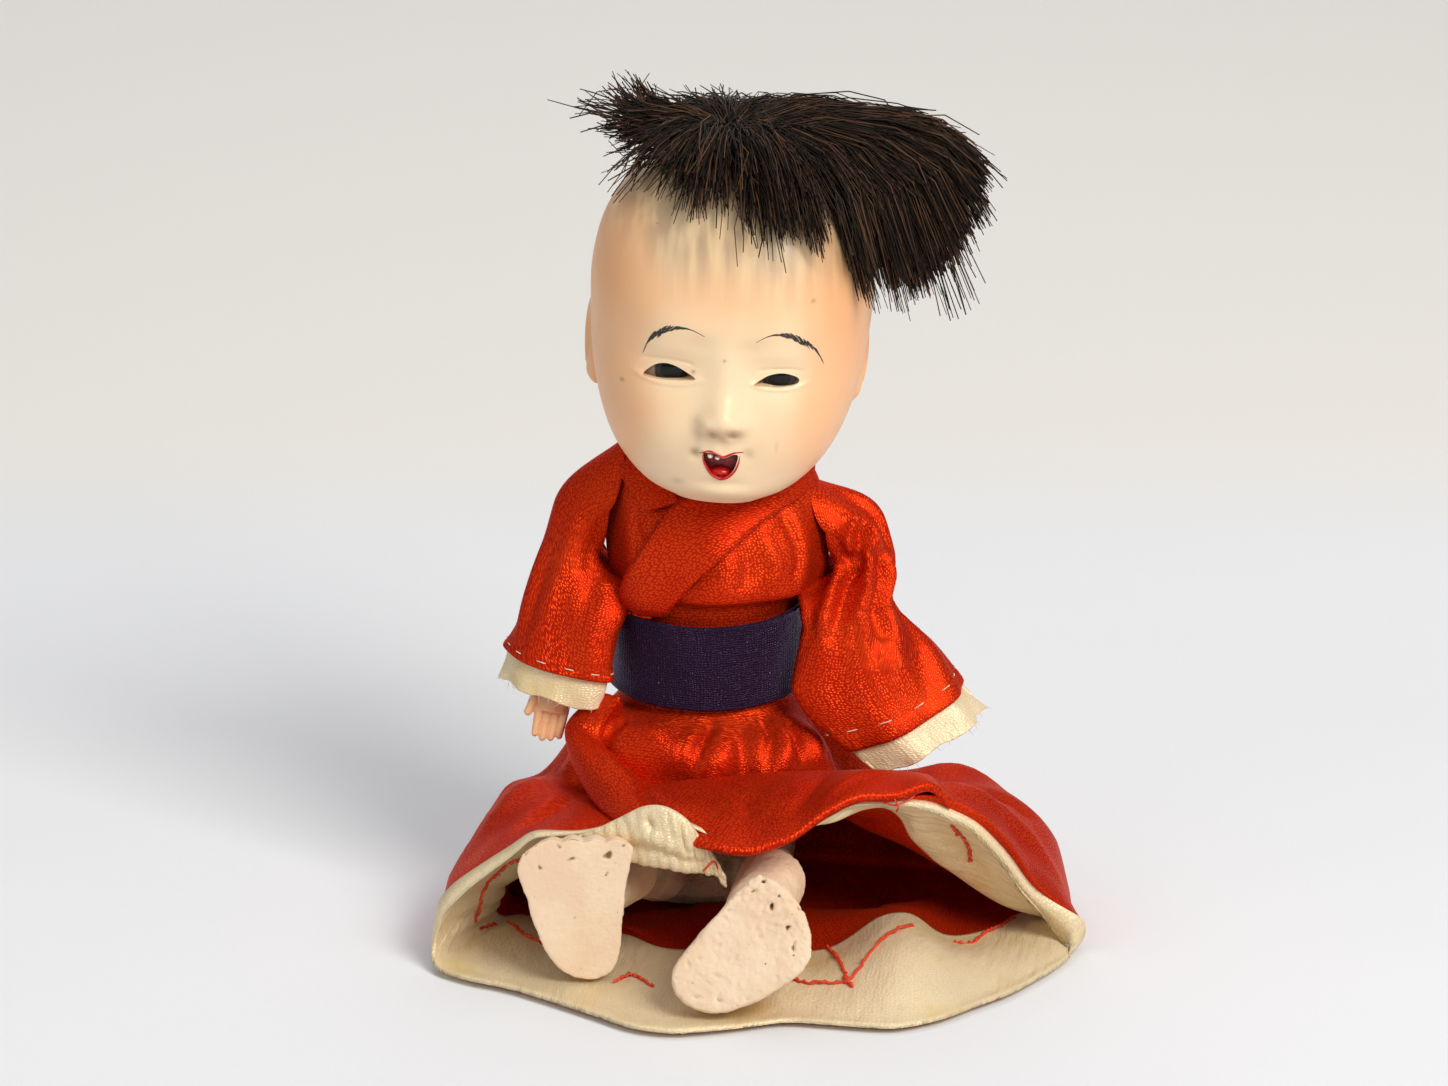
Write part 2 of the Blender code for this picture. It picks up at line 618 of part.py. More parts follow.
def build_head():
    """Skull, face, ears and neck plug in one, with the eye sockets, mouth and hair hole cut."""
    place = head_matrix()
    skull = loft(head_rings(), start_tip=CHIN_TIP, end_tip=CROWN_TIP)
    bmesh.ops.transform(skull, matrix=place, verts=skull.verts)
    head = make_object("head", skull, "gofun_skin")
    neck_points = [
        Vector((NECK_X, TRUNK_Y, NECK_PLUG_FOOT)),
        Vector((NECK_X, TRUNK_Y, TRUNK_ROWS[-1][0] + 0.4)),
        place @ Vector((-0.6, 0.5, -10.0)),
    ]
    neck = loft(
        tube_rings(neck_points, (NECK_RADIUS,) * 3, (NECK_RADIUS,) * 3, Vector((1, 0, 0)), 20, 2)
    )
    boolean(head, make_object("neck plug", neck, helper=True), "UNION")
    for side in SIDES:
        lobe, bowl = ear_bits(side)
        for bit, operation in ((lobe, "UNION"), (bowl, "DIFFERENCE")):
            bmesh.ops.transform(bit, matrix=place, verts=bit.verts)
            boolean(head, make_object(f"ear {operation} {side}", bit, helper=True), operation)
    for side, (across, height, half_length, half_height, tilt) in EYES.items():
        across += FACE_CENTRE_X
        surface = face_front(across, height)
        cut = face_prism(
            almond(half_length, half_height), across, height, tilt,
            surface - 3.0, surface + EYE_SOCKET_DEPTH,
        )
        bmesh.ops.transform(cut, matrix=place, verts=cut.verts)
        boolean(head, make_object(f"socket {side}", cut, helper=True), "DIFFERENCE")
    mouth_x = FACE_CENTRE_X + MOUTH_CENTRE[0]
    lips = face_front(mouth_x, MOUTH_CENTRE[1])
    cut = face_prism(mouth_outline(), mouth_x, MOUTH_CENTRE[1], 0.0, lips - 2.0, lips + MOUTH_DEPTH)
    bmesh.ops.transform(cut, matrix=place, verts=cut.verts)
    boolean(head, make_object("mouth", cut, helper=True), "DIFFERENCE")
    floor = CROWN_TIP.z - HAIR_HOLE_DEPTH
    hole_ends = [place @ Vector((0.0, CROWN_TIP.y, z)) for z in (floor, CROWN_TIP.z + 3.0)]
    hole = loft(
        tube_rings(hole_ends, (HAIR_HOLE_RADIUS,) * 2, (HAIR_HOLE_RADIUS,) * 2,
                   Vector((1, 0, 0)), 16, 1)
    )
    boolean(head, make_object("hair hole", hole, helper=True), "DIFFERENCE")


def build_eyes():
    """Each eye is a dark glass almond in its socket, crowned towards the front."""
    place = head_matrix()
    for side, (across, height, half_length, half_height, tilt) in EYES.items():
        across += FACE_CENTRE_X
        front = face_front(across, height) + EYE_SINK
        turn = math.radians(tilt)
        rings = []
        for share, back in ((0.55, 0.0), (1.0, 0.35), (1.0, EYE_THICK)):
            ring = []
            for a, b in almond(half_length - EYE_CLEAR, half_height - EYE_CLEAR):
                x = across + share * (a * math.cos(turn) - b * math.sin(turn))
                z = height + share * (a * math.sin(turn) + b * math.cos(turn))
                ring.append(place @ Vector((x, front + back, z)))
            rings.append(ring)
        make_object(f"eye_{side}", loft(rings), "eye_glass")


def build_hair():
    """The tuft: locks that fan out of one root, fused, with a plug in the crown's hole."""
    place = head_matrix()
    plug_ends = [
        place @ Vector((0.0, CROWN_TIP.y, CROWN_TIP.z - HAIR_HOLE_DEPTH + CLEAR)),
        place @ Vector((0.0, CROWN_TIP.y, CROWN_TIP.z + 3.2)),
    ]
    radius = HAIR_HOLE_RADIUS - CLEAR
    plug = loft(tube_rings(plug_ends, (radius,) * 2, (radius,) * 2, Vector((1, 0, 0)), 12, 1))
    tuft = make_object("hair_tuft", plug, "black_hair")
    for number, (tip, rise, later_rise, half_width, half_thick) in enumerate(HAIR_LOCKS):
        reach = Vector(tip) - HAIR_ROOT
        flat = Vector((reach.x, reach.y, 0.0))
        path = [
            HAIR_ROOT,
            HAIR_ROOT + flat * 0.27 + Vector((0.0, 0.0, rise)),
            HAIR_ROOT + flat * 0.68 + Vector((0.0, 0.0, later_rise + 0.38 * reach.z)),
            Vector(tip),
        ]
        half_widths = [half_width * share for share in HAIR_TAPER]
        half_thicks = [half_thick * share for share in HAIR_TAPER]
        hint = Vector((0.0, 0.0, 1.0)).cross(flat)
        rings = tube_rings(path, half_widths, half_thicks, hint, HAIR_AROUND_COUNT, 1)
        end = Vector(tip) + (path[-1] - path[-2]).normalized() * half_thick * 0.6
        lock = make_object(f"lock {number}", loft(rings, end_tip=end), helper=True)
        boolean(tuft, lock, "UNION", crosses_itself=True)
    clearance = loft(head_rings(), start_tip=CHIN_TIP, end_tip=CROWN_TIP)
    grow = Matrix.Diagonal((1.03, 1.03, 1.025, 1.0))
    bmesh.ops.transform(clearance, matrix=place @ grow, verts=clearance.verts)
    core_ends = [place @ Vector((0.0, CROWN_TIP.y, z)) for z in (0.0, CROWN_TIP.z + 6.0)]
    core = loft(tube_rings(core_ends, (radius,) * 2, (radius,) * 2, Vector((1, 0, 0)), 12, 1))
    cutter = make_object("space over the skull", clearance, helper=True)
    boolean(cutter, make_object("plug core", core, helper=True), "DIFFERENCE")
    boolean(tuft, cutter, "DIFFERENCE")


def build_trunk():
    """The paste trunk, with a socket for the neck plug."""
    rings = []
    for k in range(len(TRUNK_ROWS)):
        z, half_width, half_depth = (
            along_open([row[c] for row in TRUNK_ROWS], k) for c in range(3)
        )
        lean = NECK_X * smooth_step(NECK_LEAN_FROM, TRUNK_ROWS[-1][0], z)
        rings.append(
            ellipse_ring(
                Vector((lean, TRUNK_Y, z)), Vector((1, 0, 0)), Vector((0, 1, 0)),
                half_width, half_depth, TRUNK_AROUND_COUNT,
            )
        )
    trunk = make_object("trunk", loft(rings), "body_paste")
    radius = NECK_RADIUS + LAYER_CLEAR
    socket_ends = [
        Vector((NECK_X, TRUNK_Y, NECK_PLUG_FOOT - CLEAR)),
        Vector((NECK_X, TRUNK_Y, TRUNK_ROWS[-1][0] + 4.0)),
    ]
    socket = loft(tube_rings(socket_ends, (radius,) * 2, (radius,) * 2, Vector((1, 0, 0)), 20, 1))
    boolean(trunk, make_object("neck socket", socket, helper=True), "DIFFERENCE")
    return trunk


def cloth_limb(name, path, radius):
    """The cloth part of a limb, from its root to just short of the joint with the paste part."""
    joint = 1.0 - LIMB_GAP / (path[1] - path[0]).length
    radii = (radius,) * len(path)
    rings = tube_rings(path, radii, radii, Vector((1, 0, 0)), 14, 2, end=joint)
    make_object(name, loft(rings), "limb_cloth")


def seam_middle(side):
    """The middle of a sleeve's seam, just outside the bodice's shoulder row."""
    height, middle_x, _, half_width, _, _ = BODICE_ROWS[SEAM_ROW]
    x = middle_x + SIDES[side] * (half_width + SEAM_STAND_OFF[side])
    return Vector((x, SEAM_BACK, height - SEAM_DROP[side]))


def arm_points(side):
    """Shoulder, elbow and wrist of an arm."""
    return [seam_middle(side) + offset for offset in ARM_POINTS[side]]


def build_arms():
    """Cloth upper arms, and paste forearms with their hands."""
    for side in SIDES:
        shoulder, elbow, wrist = arm_points(side)
        hang = HAND_HANG[side].normalized()
        across, other = frame_along(hang, Vector((1.0, 0.25, 0.0)))
        palm_end = wrist + hang * PALM_LENGTH
        path = [shoulder, elbow, wrist, palm_end]
        cloth_limb(f"upper_arm_{side}", path, CLOTH_ARM_RADIUS)
        rings = tube_rings(
            path,
            (CLOTH_ARM_RADIUS, FOREARM_RADIUS, WRIST_RADIUS, PALM_HALF_WIDTH),
            (CLOTH_ARM_RADIUS, FOREARM_RADIUS, WRIST_RADIUS, PALM_HALF_THICK),
            across, 12, 2, start=1.0,
        )
        tip = palm_end + hang * 0.4
        forearm = make_object(f"forearm_{side}", loft(rings, end_tip=tip), "gofun_skin")
        for finger in range(4):
            shift = (finger - 1.5) * FINGER_RADIUS * 1.62
            root = palm_end - hang * 1.2 + across * shift
            length = FINGER_LENGTH * (1.0 - 0.10 * abs(finger - 1.3)) + 1.2
            curl = other * 0.25
            points = [root, root + hang * length * 0.5 + curl * 0.4, root + hang * length + curl]
            radii = (FINGER_RADIUS, FINGER_RADIUS, FINGER_RADIUS * 0.72)
            finger_rings = tube_rings(points, radii, radii, across, 6, 1)
            end = points[-1] + hang * FINGER_RADIUS * 0.5
            bit = loft(finger_rings, end_tip=end)
            boolean(forearm, make_object(f"finger {side} {finger}", bit, helper=True), "UNION")
        outward = across * THUMB_SIDE[side]
        root = wrist + hang * 1.0 + outward * 0.8
        points = [root, root + outward * 1.6 + hang * 1.4, root + outward * 2.1 + hang * THUMB_LENGTH]
        radii = (THUMB_RADIUS, THUMB_RADIUS, THUMB_RADIUS * 0.7)
        thumb = loft(tube_rings(points, radii, radii, other, 8, 1), end_tip=points[-1] + hang * 0.35)
        boolean(forearm, make_object(f"thumb {side}", thumb, helper=True), "UNION")


def sole_ring(side, scale, lift, centre_pull):
    """The sole's outline, scaled about its middle and lifted off the sole, in the doll frame."""
    heel, roll, lean, yaw = SOLE_PLACE[side]
    sign = -SIDES[side]
    place = (
        Matrix.Translation(heel)
        @ Euler((0.0, 0.0, math.radians(yaw))).to_matrix().to_4x4()
        @ Euler((math.radians(-lean), 0.0, 0.0)).to_matrix().to_4x4()
        @ Euler((0.0, math.radians(roll), 0.0)).to_matrix().to_4x4()
    )
    outline = [Vector((p[0], p[1])) for p in SOLE_OUTLINE]
    middle = Vector((0.0, 7.0 - centre_pull))
    ring = []
    for i in range(SOLE_SAMPLE_COUNT):
        t = len(outline) * i / SOLE_SAMPLE_COUNT
        point = along_closed(outline, t)
        toes = smooth_step(15.2, 16.6, point.y)
        wave = abs(math.sin(math.pi * TOE_COUNT * (point.x + 6.0) / 10.0))
        point = Vector((point.x, point.y + TOE_SCALLOP * toes * (wave - 0.5)))
        point = middle + (point - middle) * scale
        ring.append(place @ Vector((sign * point.x, lift, point.y)))
    return ring


def build_legs():
    """Cloth thighs, and paste lower legs that end in a flat-soled foot."""
    for side, (hip, knee) in LEG_POINTS.items():
        rings = [
            sole_ring(side, 0.94, 0.0, 0.0),
            sole_ring(side, 1.0, SOLE_EDGE, 0.0),
            sole_ring(side, 0.97, 2.4, 0.0),
            sole_ring(side, 0.80, 4.4, 1.2),
            sole_ring(side, 0.56, FOOT_THICK, 1.6),
        ]
        foot_end = sum(rings[-1], Vector()) / SOLE_SAMPLE_COUNT
        path = [hip, knee, foot_end]
        cloth_limb(f"thigh_{side}", path, CLOTH_THIGH_RADIUS)
        radii = (CLOTH_THIGH_RADIUS, KNEE_RADIUS, ANKLE_RADIUS)
        start = rings[-1][0] - foot_end
        shin = tube_rings(path, radii, radii, start, SOLE_SAMPLE_COUNT, 4, start=1.0)[:-1]
        if ring_turn(rings[-1]).dot(ring_turn(shin[-1])) < 0.0:
            shin = [[ring[0], *reversed(ring[1:])] for ring in shin]
        make_object(f"lower_leg_{side}", loft(rings + shin[::-1]), "gofun_foot")


def bodice_point(angle, row):
    """A point on the outside of the bodice, at an angle from the front round to the doll's left."""
    z, middle_x, middle_y, half_width, half_depth, dip = (
        along_open([r[c] for r in BODICE_ROWS], row) for c in range(6)
    )
    blousing = smooth_step(1.0, 2.0, row) * (1.0 - smooth_step(3.4, 5.0, row))
    swell = 1.0 + BODICE_FOLD / half_width * blousing * math.cos(BODICE_FOLD_COUNT * angle)
    x = middle_x + half_width * swell * math.sin(angle)
    y = middle_y - half_depth * swell * math.cos(angle)
    slope = smooth_step(SHOULDER_SLOPE_FROM, SHOULDER_SLOPE_FROM + 8.0, z)
    front = max(math.cos(angle), 0.0)
    return Vector((x, y, z - SHOULDER_SLOPE * slope * (x - middle_x) - dip * front))


def build_bodice():
    """The kimono's upper body, open at the waist and neck, with an armhole each side."""
    rings = []
    for row in stepped(BODICE_STEPS):
        rings.append(
            [bodice_point(math.tau * i / BODICE_AROUND_COUNT, row) for i in range(BODICE_AROUND_COUNT)]
        )
    bodice = make_object("kimono_bodice", loft(rings, cap_start=False, cap_end=False), "red_silk")
    wall(bodice, SILK)
    for side in SIDES:
        shoulder, elbow, _ = arm_points(side)
        inner = shoulder + (shoulder - elbow) * 0.3
        outer = shoulder + (elbow - shoulder) * 0.6
        radii = (ARMHOLE_RADIUS,) * 2
        hole = loft(tube_rings([inner, outer], radii, radii, Vector((1, 0, 0)), 16, 1))
        boolean(bodice, make_object(f"armhole {side}", hole, helper=True), "DIFFERENCE")


def collar_edge(edge, t):
    """A point of a collar edge, as an angle round the bodice and a row of it."""
    back = next(k for k, (angle, _) in enumerate(edge) if angle == 180.0)
    angles = [angle - 360.0 if k >= back else angle for k, (angle, _) in enumerate(edge)]
    return math.radians(along_open(angles, t)), along_open([row for _, row in edge], t)


def build_collar():
    """The collar band: round the neck and down both fronts, the doll's left over the right."""
    last = len(COLLAR_NECK_EDGE) - 1
    cross_lift = COLLAR_THICK + CLEAR
    rings = []
    for k in range(COLLAR_SAMPLE_COUNT + 1):
        t = last * k / COLLAR_SAMPLE_COUNT
        neck_angle, neck_row = collar_edge(COLLAR_NECK_EDGE, t)
        outer_angle, outer_row = collar_edge(COLLAR_OUTER_EDGE, t)
        over = smooth_step(6.8, 8.2, t)
        inner_side, outer_side = [], []
        for c in range(COLLAR_ACROSS_COUNT + 1):
            share = c / COLLAR_ACROSS_COUNT
            angle = neck_angle + (outer_angle - neck_angle) * share
            row = neck_row + (outer_row - neck_row) * share
            here = bodice_point(angle, row)
            step = 0.02
            along = bodice_point(angle + step, row) - bodice_point(angle - step, row)
            up = bodice_point(angle, row + step) - bodice_point(angle, row - step)
            normal = along.cross(up).normalized()
            base = LAYER_CLEAR + over * cross_lift
            inner_side.append(here + normal * base)
            outer_side.append(here + normal * (base + COLLAR_THICK))
        rings.append(inner_side + list(reversed(outer_side)))
    make_object("collar_band", loft(rings), "red_silk")


def sleeve_rings(side):
    """Rings of a sleeve's outer face, from the shoulder seam to the cuff."""
    table = SLEEVE_RINGS[side]
    seam = seam_middle(side)
    rings = []
    last = len(table) - 1
    for k in range(last * SLEEVE_STEP_COUNT + 1):
        t = k / SLEEVE_STEP_COUNT
        middle, out, back, bend = (along_open([row[c] for row in table], t) for c in range(4))
        folds = SLEEVE_FOLD * smooth_step(0.0, 1.5, t)
        ring = []
        for i in range(SLEEVE_AROUND_COUNT):
            angle = math.tau * i / SLEEVE_AROUND_COUNT
            wave = 1.0 + folds * math.cos(SLEEVE_FOLD_COUNT[side] * angle + 1.1 * t)
            bent = Vector((-SIDES[side] * bend * math.sin(angle) ** 2, 0.0, 0.0))
            ring.append(seam + middle + (out * math.cos(angle) + back * math.sin(angle)) * wave + bent)
        rings.append(ring)
    return rings


def build_sleeves():
    """Red sleeves, and the cream lining that shows below each cuff."""
    for side in SIDES:
        rings = sleeve_rings(side)
        sleeve = make_object(
            f"sleeve_{side}", loft(rings, cap_start=False, cap_end=False), "red_silk"
        )
        wall(sleeve, SILK)
        half = SLEEVE_AROUND_COUNT // 2
        towards = 0.5 * (rings[-1][0] + rings[-1][half] - rings[-3][0] - rings[-3][half])
        shown = [p + towards.normalized() * CUFF_SHOWS[side] for p in rings[-1]]
        inner = offset_inward(rings + [shown], SILK + LAYER_CLEAR)[-5:]
        cuff = make_object(
            f"sleeve_lining_{side}", loft(inner, cap_start=False, cap_end=False), "cream_silk"
        )
        wall(cuff, LINING_SILK)


def waist_ellipse(ring):
    """A ring of twelve points round the waist."""
    z, half_width, half_depth = ring
    points = []
    for i in range(12):
        angle = math.tau * i / 12
        points.append(Vector((half_width * math.sin(angle), -half_depth * math.cos(angle), z)))
    return points


def skirt_rings():
    """The skirt's outer face as rings from the waist to the hem, flat where it lies on the table."""
    across = [p[0] for ring in SKIRT_RINGS for p in ring]
    wider = HEM_SPREAD / (max(across) - min(across))
    longer = -HEM_REACH / min(p[1] for ring in SKIRT_RINGS for p in ring)
    table = [waist_ellipse(WAIST_RING), waist_ellipse(UNDER_OBI_RING)]
    for ring in SKIRT_RINGS:
        share = smooth_step(SPREAD_FROM_RING, len(SKIRT_RINGS), len(table))
        stretch_x = 1.0 + (wider - 1.0) * share
        stretch_y = 1.0 + (longer - 1.0) * share
        table.append([Vector((x * stretch_x, y * (stretch_y if y < 0.0 else 1.0), z)) for x, y, z in ring])
    rings = []
    for t in stepped(SKIRT_STEPS):
        ring = []
        for i in range(SKIRT_AROUND_COUNT):
            column = 12.0 * i / SKIRT_AROUND_COUNT
            point = along_open([along_closed(row, column) for row in table], t)
            gather = smooth_step(1.2, 2.2, t) * (1.0 - smooth_step(3.0, 4.6, t))
            angle = math.tau * i / SKIRT_AROUND_COUNT
            out = Vector((math.sin(angle), -math.cos(angle), 0.0))
            point = point + out * (GATHER_DEPTH * gather * math.cos(GATHER_COUNT * angle))
            ring.append(Vector((point.x, point.y, max(point.z, 0.0))))
        rings.append(ring)
    return rings


def build_skirt():
    """The skirt and the cream band that faces its hem."""
    rings = skirt_rings()
    skirt = make_object("kimono_skirt", loft(rings, cap_start=False, cap_end=False), "red_silk")
    wall(skirt, SILK)
    inner = offset_inward(rings, SILK + LAYER_CLEAR)
    band = inner[-HEM_BAND_RING_COUNT:]
    lap = [p + (p - q).normalized() * HEM_LAPS_OUT for p, q in zip(band[-1], band[-2])]
    lining = make_object(
        "hem_lining", loft(band + [lap], cap_start=False, cap_end=False), "cream_silk"
    )
    wall(lining, LINING_SILK)


def build_obi():
    """The stiff purple ribbon round the waist, a little higher at the sides."""
    rings = []
    for rise in (0.0, OBI_HEIGHT):
        ring = []
        for i in range(OBI_AROUND_COUNT):
            angle = math.tau * i / OBI_AROUND_COUNT
            lift = OBI_SIDE_RISE * math.sin(angle) ** 2
            ring.append(
                Vector((
                    OBI_HALF_WIDTH * math.sin(angle),
                    -OBI_HALF_DEPTH * math.cos(angle),
                    OBI_FOOT + rise + lift,
                ))
            )
        rings.append(ring)
    obi = make_object("obi_band", loft(rings, cap_start=False, cap_end=False), "purple_ribbon")
    wall(obi, OBI_RIBBON)


def main():
    for thing in list(bpy.data.objects):
        bpy.data.objects.remove(thing)
    build_head()
    build_eyes()
    build_hair()
    build_trunk()
    build_arms()
    build_legs()
    build_bodice()
    build_collar()
    build_sleeves()
    build_skirt()
    build_obi()


main()
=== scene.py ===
"""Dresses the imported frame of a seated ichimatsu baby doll: painted gofun head with set-in glass
eyes, coarse black hair, red silk kimono with a cream lining, and a purple obi.

Shapes are worked out in millimetres and turned into metres when a piece is made. +Z is up, +X is
the doll's left, and the doll faces -Y, as in the frame.
"""

import math

import bmesh
import bpy
import numpy as np
from bpy.props import FloatProperty, FloatVectorProperty, IntProperty, PointerProperty
from mathutils import Euler, Matrix, Vector, noise
from mathutils.bvhtree import BVHTree


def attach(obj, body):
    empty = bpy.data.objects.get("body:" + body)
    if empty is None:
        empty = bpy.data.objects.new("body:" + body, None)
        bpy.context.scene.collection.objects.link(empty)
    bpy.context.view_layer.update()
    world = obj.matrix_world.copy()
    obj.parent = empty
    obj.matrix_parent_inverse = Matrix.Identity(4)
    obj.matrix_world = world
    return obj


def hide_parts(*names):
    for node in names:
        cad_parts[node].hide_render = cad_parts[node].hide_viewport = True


bl_info = {
    "name": "Ichimatsu baby doll",
    "version": (1, 0, 0),
    "blender": (4, 5, 0),
    "location": "3D View > Sidebar > Doll",
    "description": "Builds the painted head, hair, kimono and obi of a seated doll on its frame",
    "category": "Object",
}

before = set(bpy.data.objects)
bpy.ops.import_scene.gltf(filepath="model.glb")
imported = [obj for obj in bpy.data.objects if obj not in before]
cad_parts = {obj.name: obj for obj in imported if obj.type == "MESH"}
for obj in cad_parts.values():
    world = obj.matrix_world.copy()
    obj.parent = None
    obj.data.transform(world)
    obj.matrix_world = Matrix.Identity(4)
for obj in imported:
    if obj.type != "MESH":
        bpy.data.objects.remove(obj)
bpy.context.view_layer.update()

MM = 0.001
TAU = math.tau
SIDES = {"right": -1.0, "left": 1.0}

# Head, in its own frame: origin at the middle of the skull
HEAD_PLACE = Vector((2.8, -2.0, 74.2))
HEAD_TURN = math.radians(-3.0)
HEAD_ROLL = math.radians(3.5)
HEAD_SPIN = Euler((0.0, HEAD_ROLL, HEAD_TURN)).to_matrix().to_4x4()
HEAD_MATRIX = Matrix.Translation(HEAD_PLACE) @ HEAD_SPIN
HEAD_SECTION_POWER = 2.25
HEAD_FRONT_CROWDING = 0.62
HEAD_COLUMNS = 240
CUTTER_POINTS = 72
HEAD_ROWS = np.array((
    # height, half width, front reach, back reach
    (-19.9, 5.0, -13.0, -4.8),
    (-18.4, 8.7, -14.5, 0.6),
    (-15.5, 12.0, -15.7, 7.0),
    (-11.5, 14.3, -16.6, 12.0),
    (-6.0, 15.9, -17.0, 16.5),
    (0.0, 16.6, -17.1, 19.0),
    (6.0, 16.7, -16.7, 19.0),
    (12.0, 15.2, -14.9, 16.8),
    (16.8, 11.4, -11.3, 12.5),
    (19.3, 6.0, -6.3, 7.4),
))
HEAD_ROW_STEPS = (10, 20, 34, 42, 46, 26, 16, 12, 8)
CAP_STEPS = 8
CHIN_TIP = np.array((0.0, -8.8, -20.3))
CROWN_TIP = np.array((0.0, 0.6, 20.1))
FACE_RELIEF = np.array((
    # across, height, half spread across, half spread up, push forward
    (0.6, -9.0, 1.45, 1.5, 1.95),
    (0.5, -5.4, 1.5, 3.6, 0.9),
    (-1.5, -9.4, 0.8, 0.8, 0.9),
    (2.7, -9.4, 0.8, 0.8, 0.9),
    (-6.0, -3.4, 3.4, 1.9, -0.8),
    (6.5, -3.6, 3.4, 1.9, -0.8),
    (-6.0, -1.2, 2.6, 0.9, 0.32),
    (6.6, -1.4, 2.6, 0.9, 0.32),
    (-5.6, 1.8, 4.2, 1.8, 0.5),
    (7.0, 1.8, 4.2, 1.8, 0.5),
    (-8.0, -10.6, 4.0, 3.8, 1.0),
    (9.2, -10.6, 4.0, 3.8, 1.0),
    (0.6, -14.2, 3.0, 2.6, 0.9),
    (0.9, -18.2, 2.8, 1.4, 0.8),
    (0.8, -17.0, 2.2, 0.55, -0.35),
    (0.6, -11.7, 0.45, 0.7, -0.22),
    (-0.5, -10.6, 0.42, 0.32, -0.75),
    (1.7, -10.6, 0.42, 0.32, -0.75),
    (-2.5, -13.3, 0.5, 0.5, -0.35),
    (3.5, -13.1, 0.5, 0.5, -0.3),
))
# Painted shade in the face's hollows: under the nose, in the nostrils, at the mouth's corners,
# beside the nose, on the chin and in the creases above the eyes. The smallest and darkest marks
# are specks of dirt.
SHADE_AND_GRIME_MARKS = (
    # across, height, half spread across, half spread up, how dark
    (0.5, -11.0, 1.6, 0.5, 0.45), (1.9, -10.5, 0.6, 0.5, 0.4), (-0.6, -10.6, 0.5, 0.4, 0.3),
    (-2.5, -13.2, 0.5, 0.4, 0.85), (3.6, -13.2, 0.5, 0.5, 0.3), (-2.2, -10.9, 0.35, 1.1, 0.25),
    (-4.4, -17.3, 0.6, 0.3, 0.4), (-2.6, 0.2, 1.5, 0.7, 0.22), (3.6, 0.0, 1.5, 0.7, 0.22),
    (-11.69, -6.05, 0.16, 0.16, 1.0), (-3.3, -3.7, 0.16, 0.16, 1.0), (0.3, -1.9, 0.13, 0.13, 0.9),
    (-3.4, -12.1, 0.9, 1.3, 0.12), (4.6, -12.4, 1.1, 1.2, 0.1), (6.9, -12.0, 0.12, 0.5, 0.3),
    (10.0, 5.2, 0.16, 0.16, 1.0),
)
EYE_OUTLINES = {
    "right": (
        (-9.2, -4.85), (-8.6, -4.05), (-7.6, -3.35), (-6.5, -3.12), (-5.4, -3.3), (-4.2, -3.8),
        (-3.0, -4.5), (-4.2, -4.82), (-5.5, -4.95), (-7.2, -5.05), (-8.4, -5.0),
    ),
    "left": (
        (3.8, -4.8), (4.6, -4.15), (5.6, -3.62), (6.9, -3.4), (8.0, -3.6), (8.8, -3.95),
        (8.98, -4.35), (8.6, -4.75), (7.6, -4.95), (6.4, -5.03), (5.0, -4.92),
    ),
}
PUPIL_PLACES = {"right": (-6.1, -4.0), "left": (6.5, -4.15)}
EYE_RADIUS = 3.9
EYE_SINK = 0.62
SOCKET_DEPTH = 3.0
MOUTH_OUTLINE = (
    (-1.55, -13.15), (-1.1, -13.0), (-0.5, -12.98), (0.15, -13.25), (0.82, -13.55), (1.4, -13.32),
    (1.95, -13.05), (2.5, -13.12), (2.45, -14.0), (2.0, -15.2), (1.25, -15.95), (0.5, -16.1),
    (-0.35, -15.7), (-1.15, -14.6),
)
UPPER_LIP = (
    (-1.95, -13.22), (-1.45, -12.95), (-0.75, -12.76), (0.0, -13.02), (0.82, -13.36),
    (1.4, -13.12),
    (2.05, -12.82), (2.7, -12.74), (3.2, -12.78),
)
LOWER_LIP = (
    (-1.62, -13.3), (-1.35, -14.3), (-0.62, -15.55), (0.25, -16.15), (0.75, -16.25), (1.45, -16.0),
    (2.2, -15.2), (2.62, -14.1), (2.72, -13.2),
)
TEETH = (  # across, height, half width, drop
    (-0.72, -13.3, 0.34, 0.34), (0.15, -13.5, 0.3, 0.24),
)
BROWS = {
    "right": (
        (-9.3, -2.1), (-8.7, -0.35), (-7.9, 0.8), (-6.6, 1.55), (-5.1, 1.7), (-3.7, 1.45),
        (-2.1, 0.75),
    ),
    "left": (
        (11.7, -2.5), (10.6, -0.35), (9.2, 0.9), (7.9, 1.62), (6.4, 1.62), (5.1, 1.25),
        (3.8, 0.45),
    ),
}
BROW_STROKES = 210
EAR_PLACE = (15.6, 2.0, -4.6)
EAR_HALF = (1.7, 2.9, 5.6)
EAR_STAND_OFF = {"right": 0.1, "left": -0.7}
EAR_LEAN = 14.0
NECK_FOOT = Vector((1.6, 0.1, 47.2))
NECK_RADIUS = 3.4

# Hair: guides of the locks, all from one root
HAIR_ROOT = np.array((2.6, -1.2, 94.0))
STRAND_POINTS = 6
SCALP_GAP = 0.35
SWEEP_LOCKS = (
    # tip, rise at the start, rise further on
    ((26.6, -1.0, 96.0), 2.4, 2.2),
    ((30.6, -1.5, 92.8), 2.8, 2.6),
    ((33.0, -2.6, 89.6), 2.8, 2.9),
    ((32.8, -4.0, 86.2), 2.4, 2.8),
    ((31.0, -5.4, 82.4), 2.0, 2.7),
    ((29.2, -6.4, 79.2), 1.7, 2.5),
    ((26.4, -7.4, 76.6), 1.4, 2.4),
    ((23.4, -8.6, 76.6), 1.2, 2.4),
    ((19.8, -10.6, 78.4), 1.2, 2.2),
    ((18.0, -13.8, 81.2), 1.4, 2.0),
)
SWEEP_BACK_LOCKS = (((28.6, 3.4, 88.0), 3.6, 3.2), ((26.6, 4.6, 81.0), 3.0, 3.0))
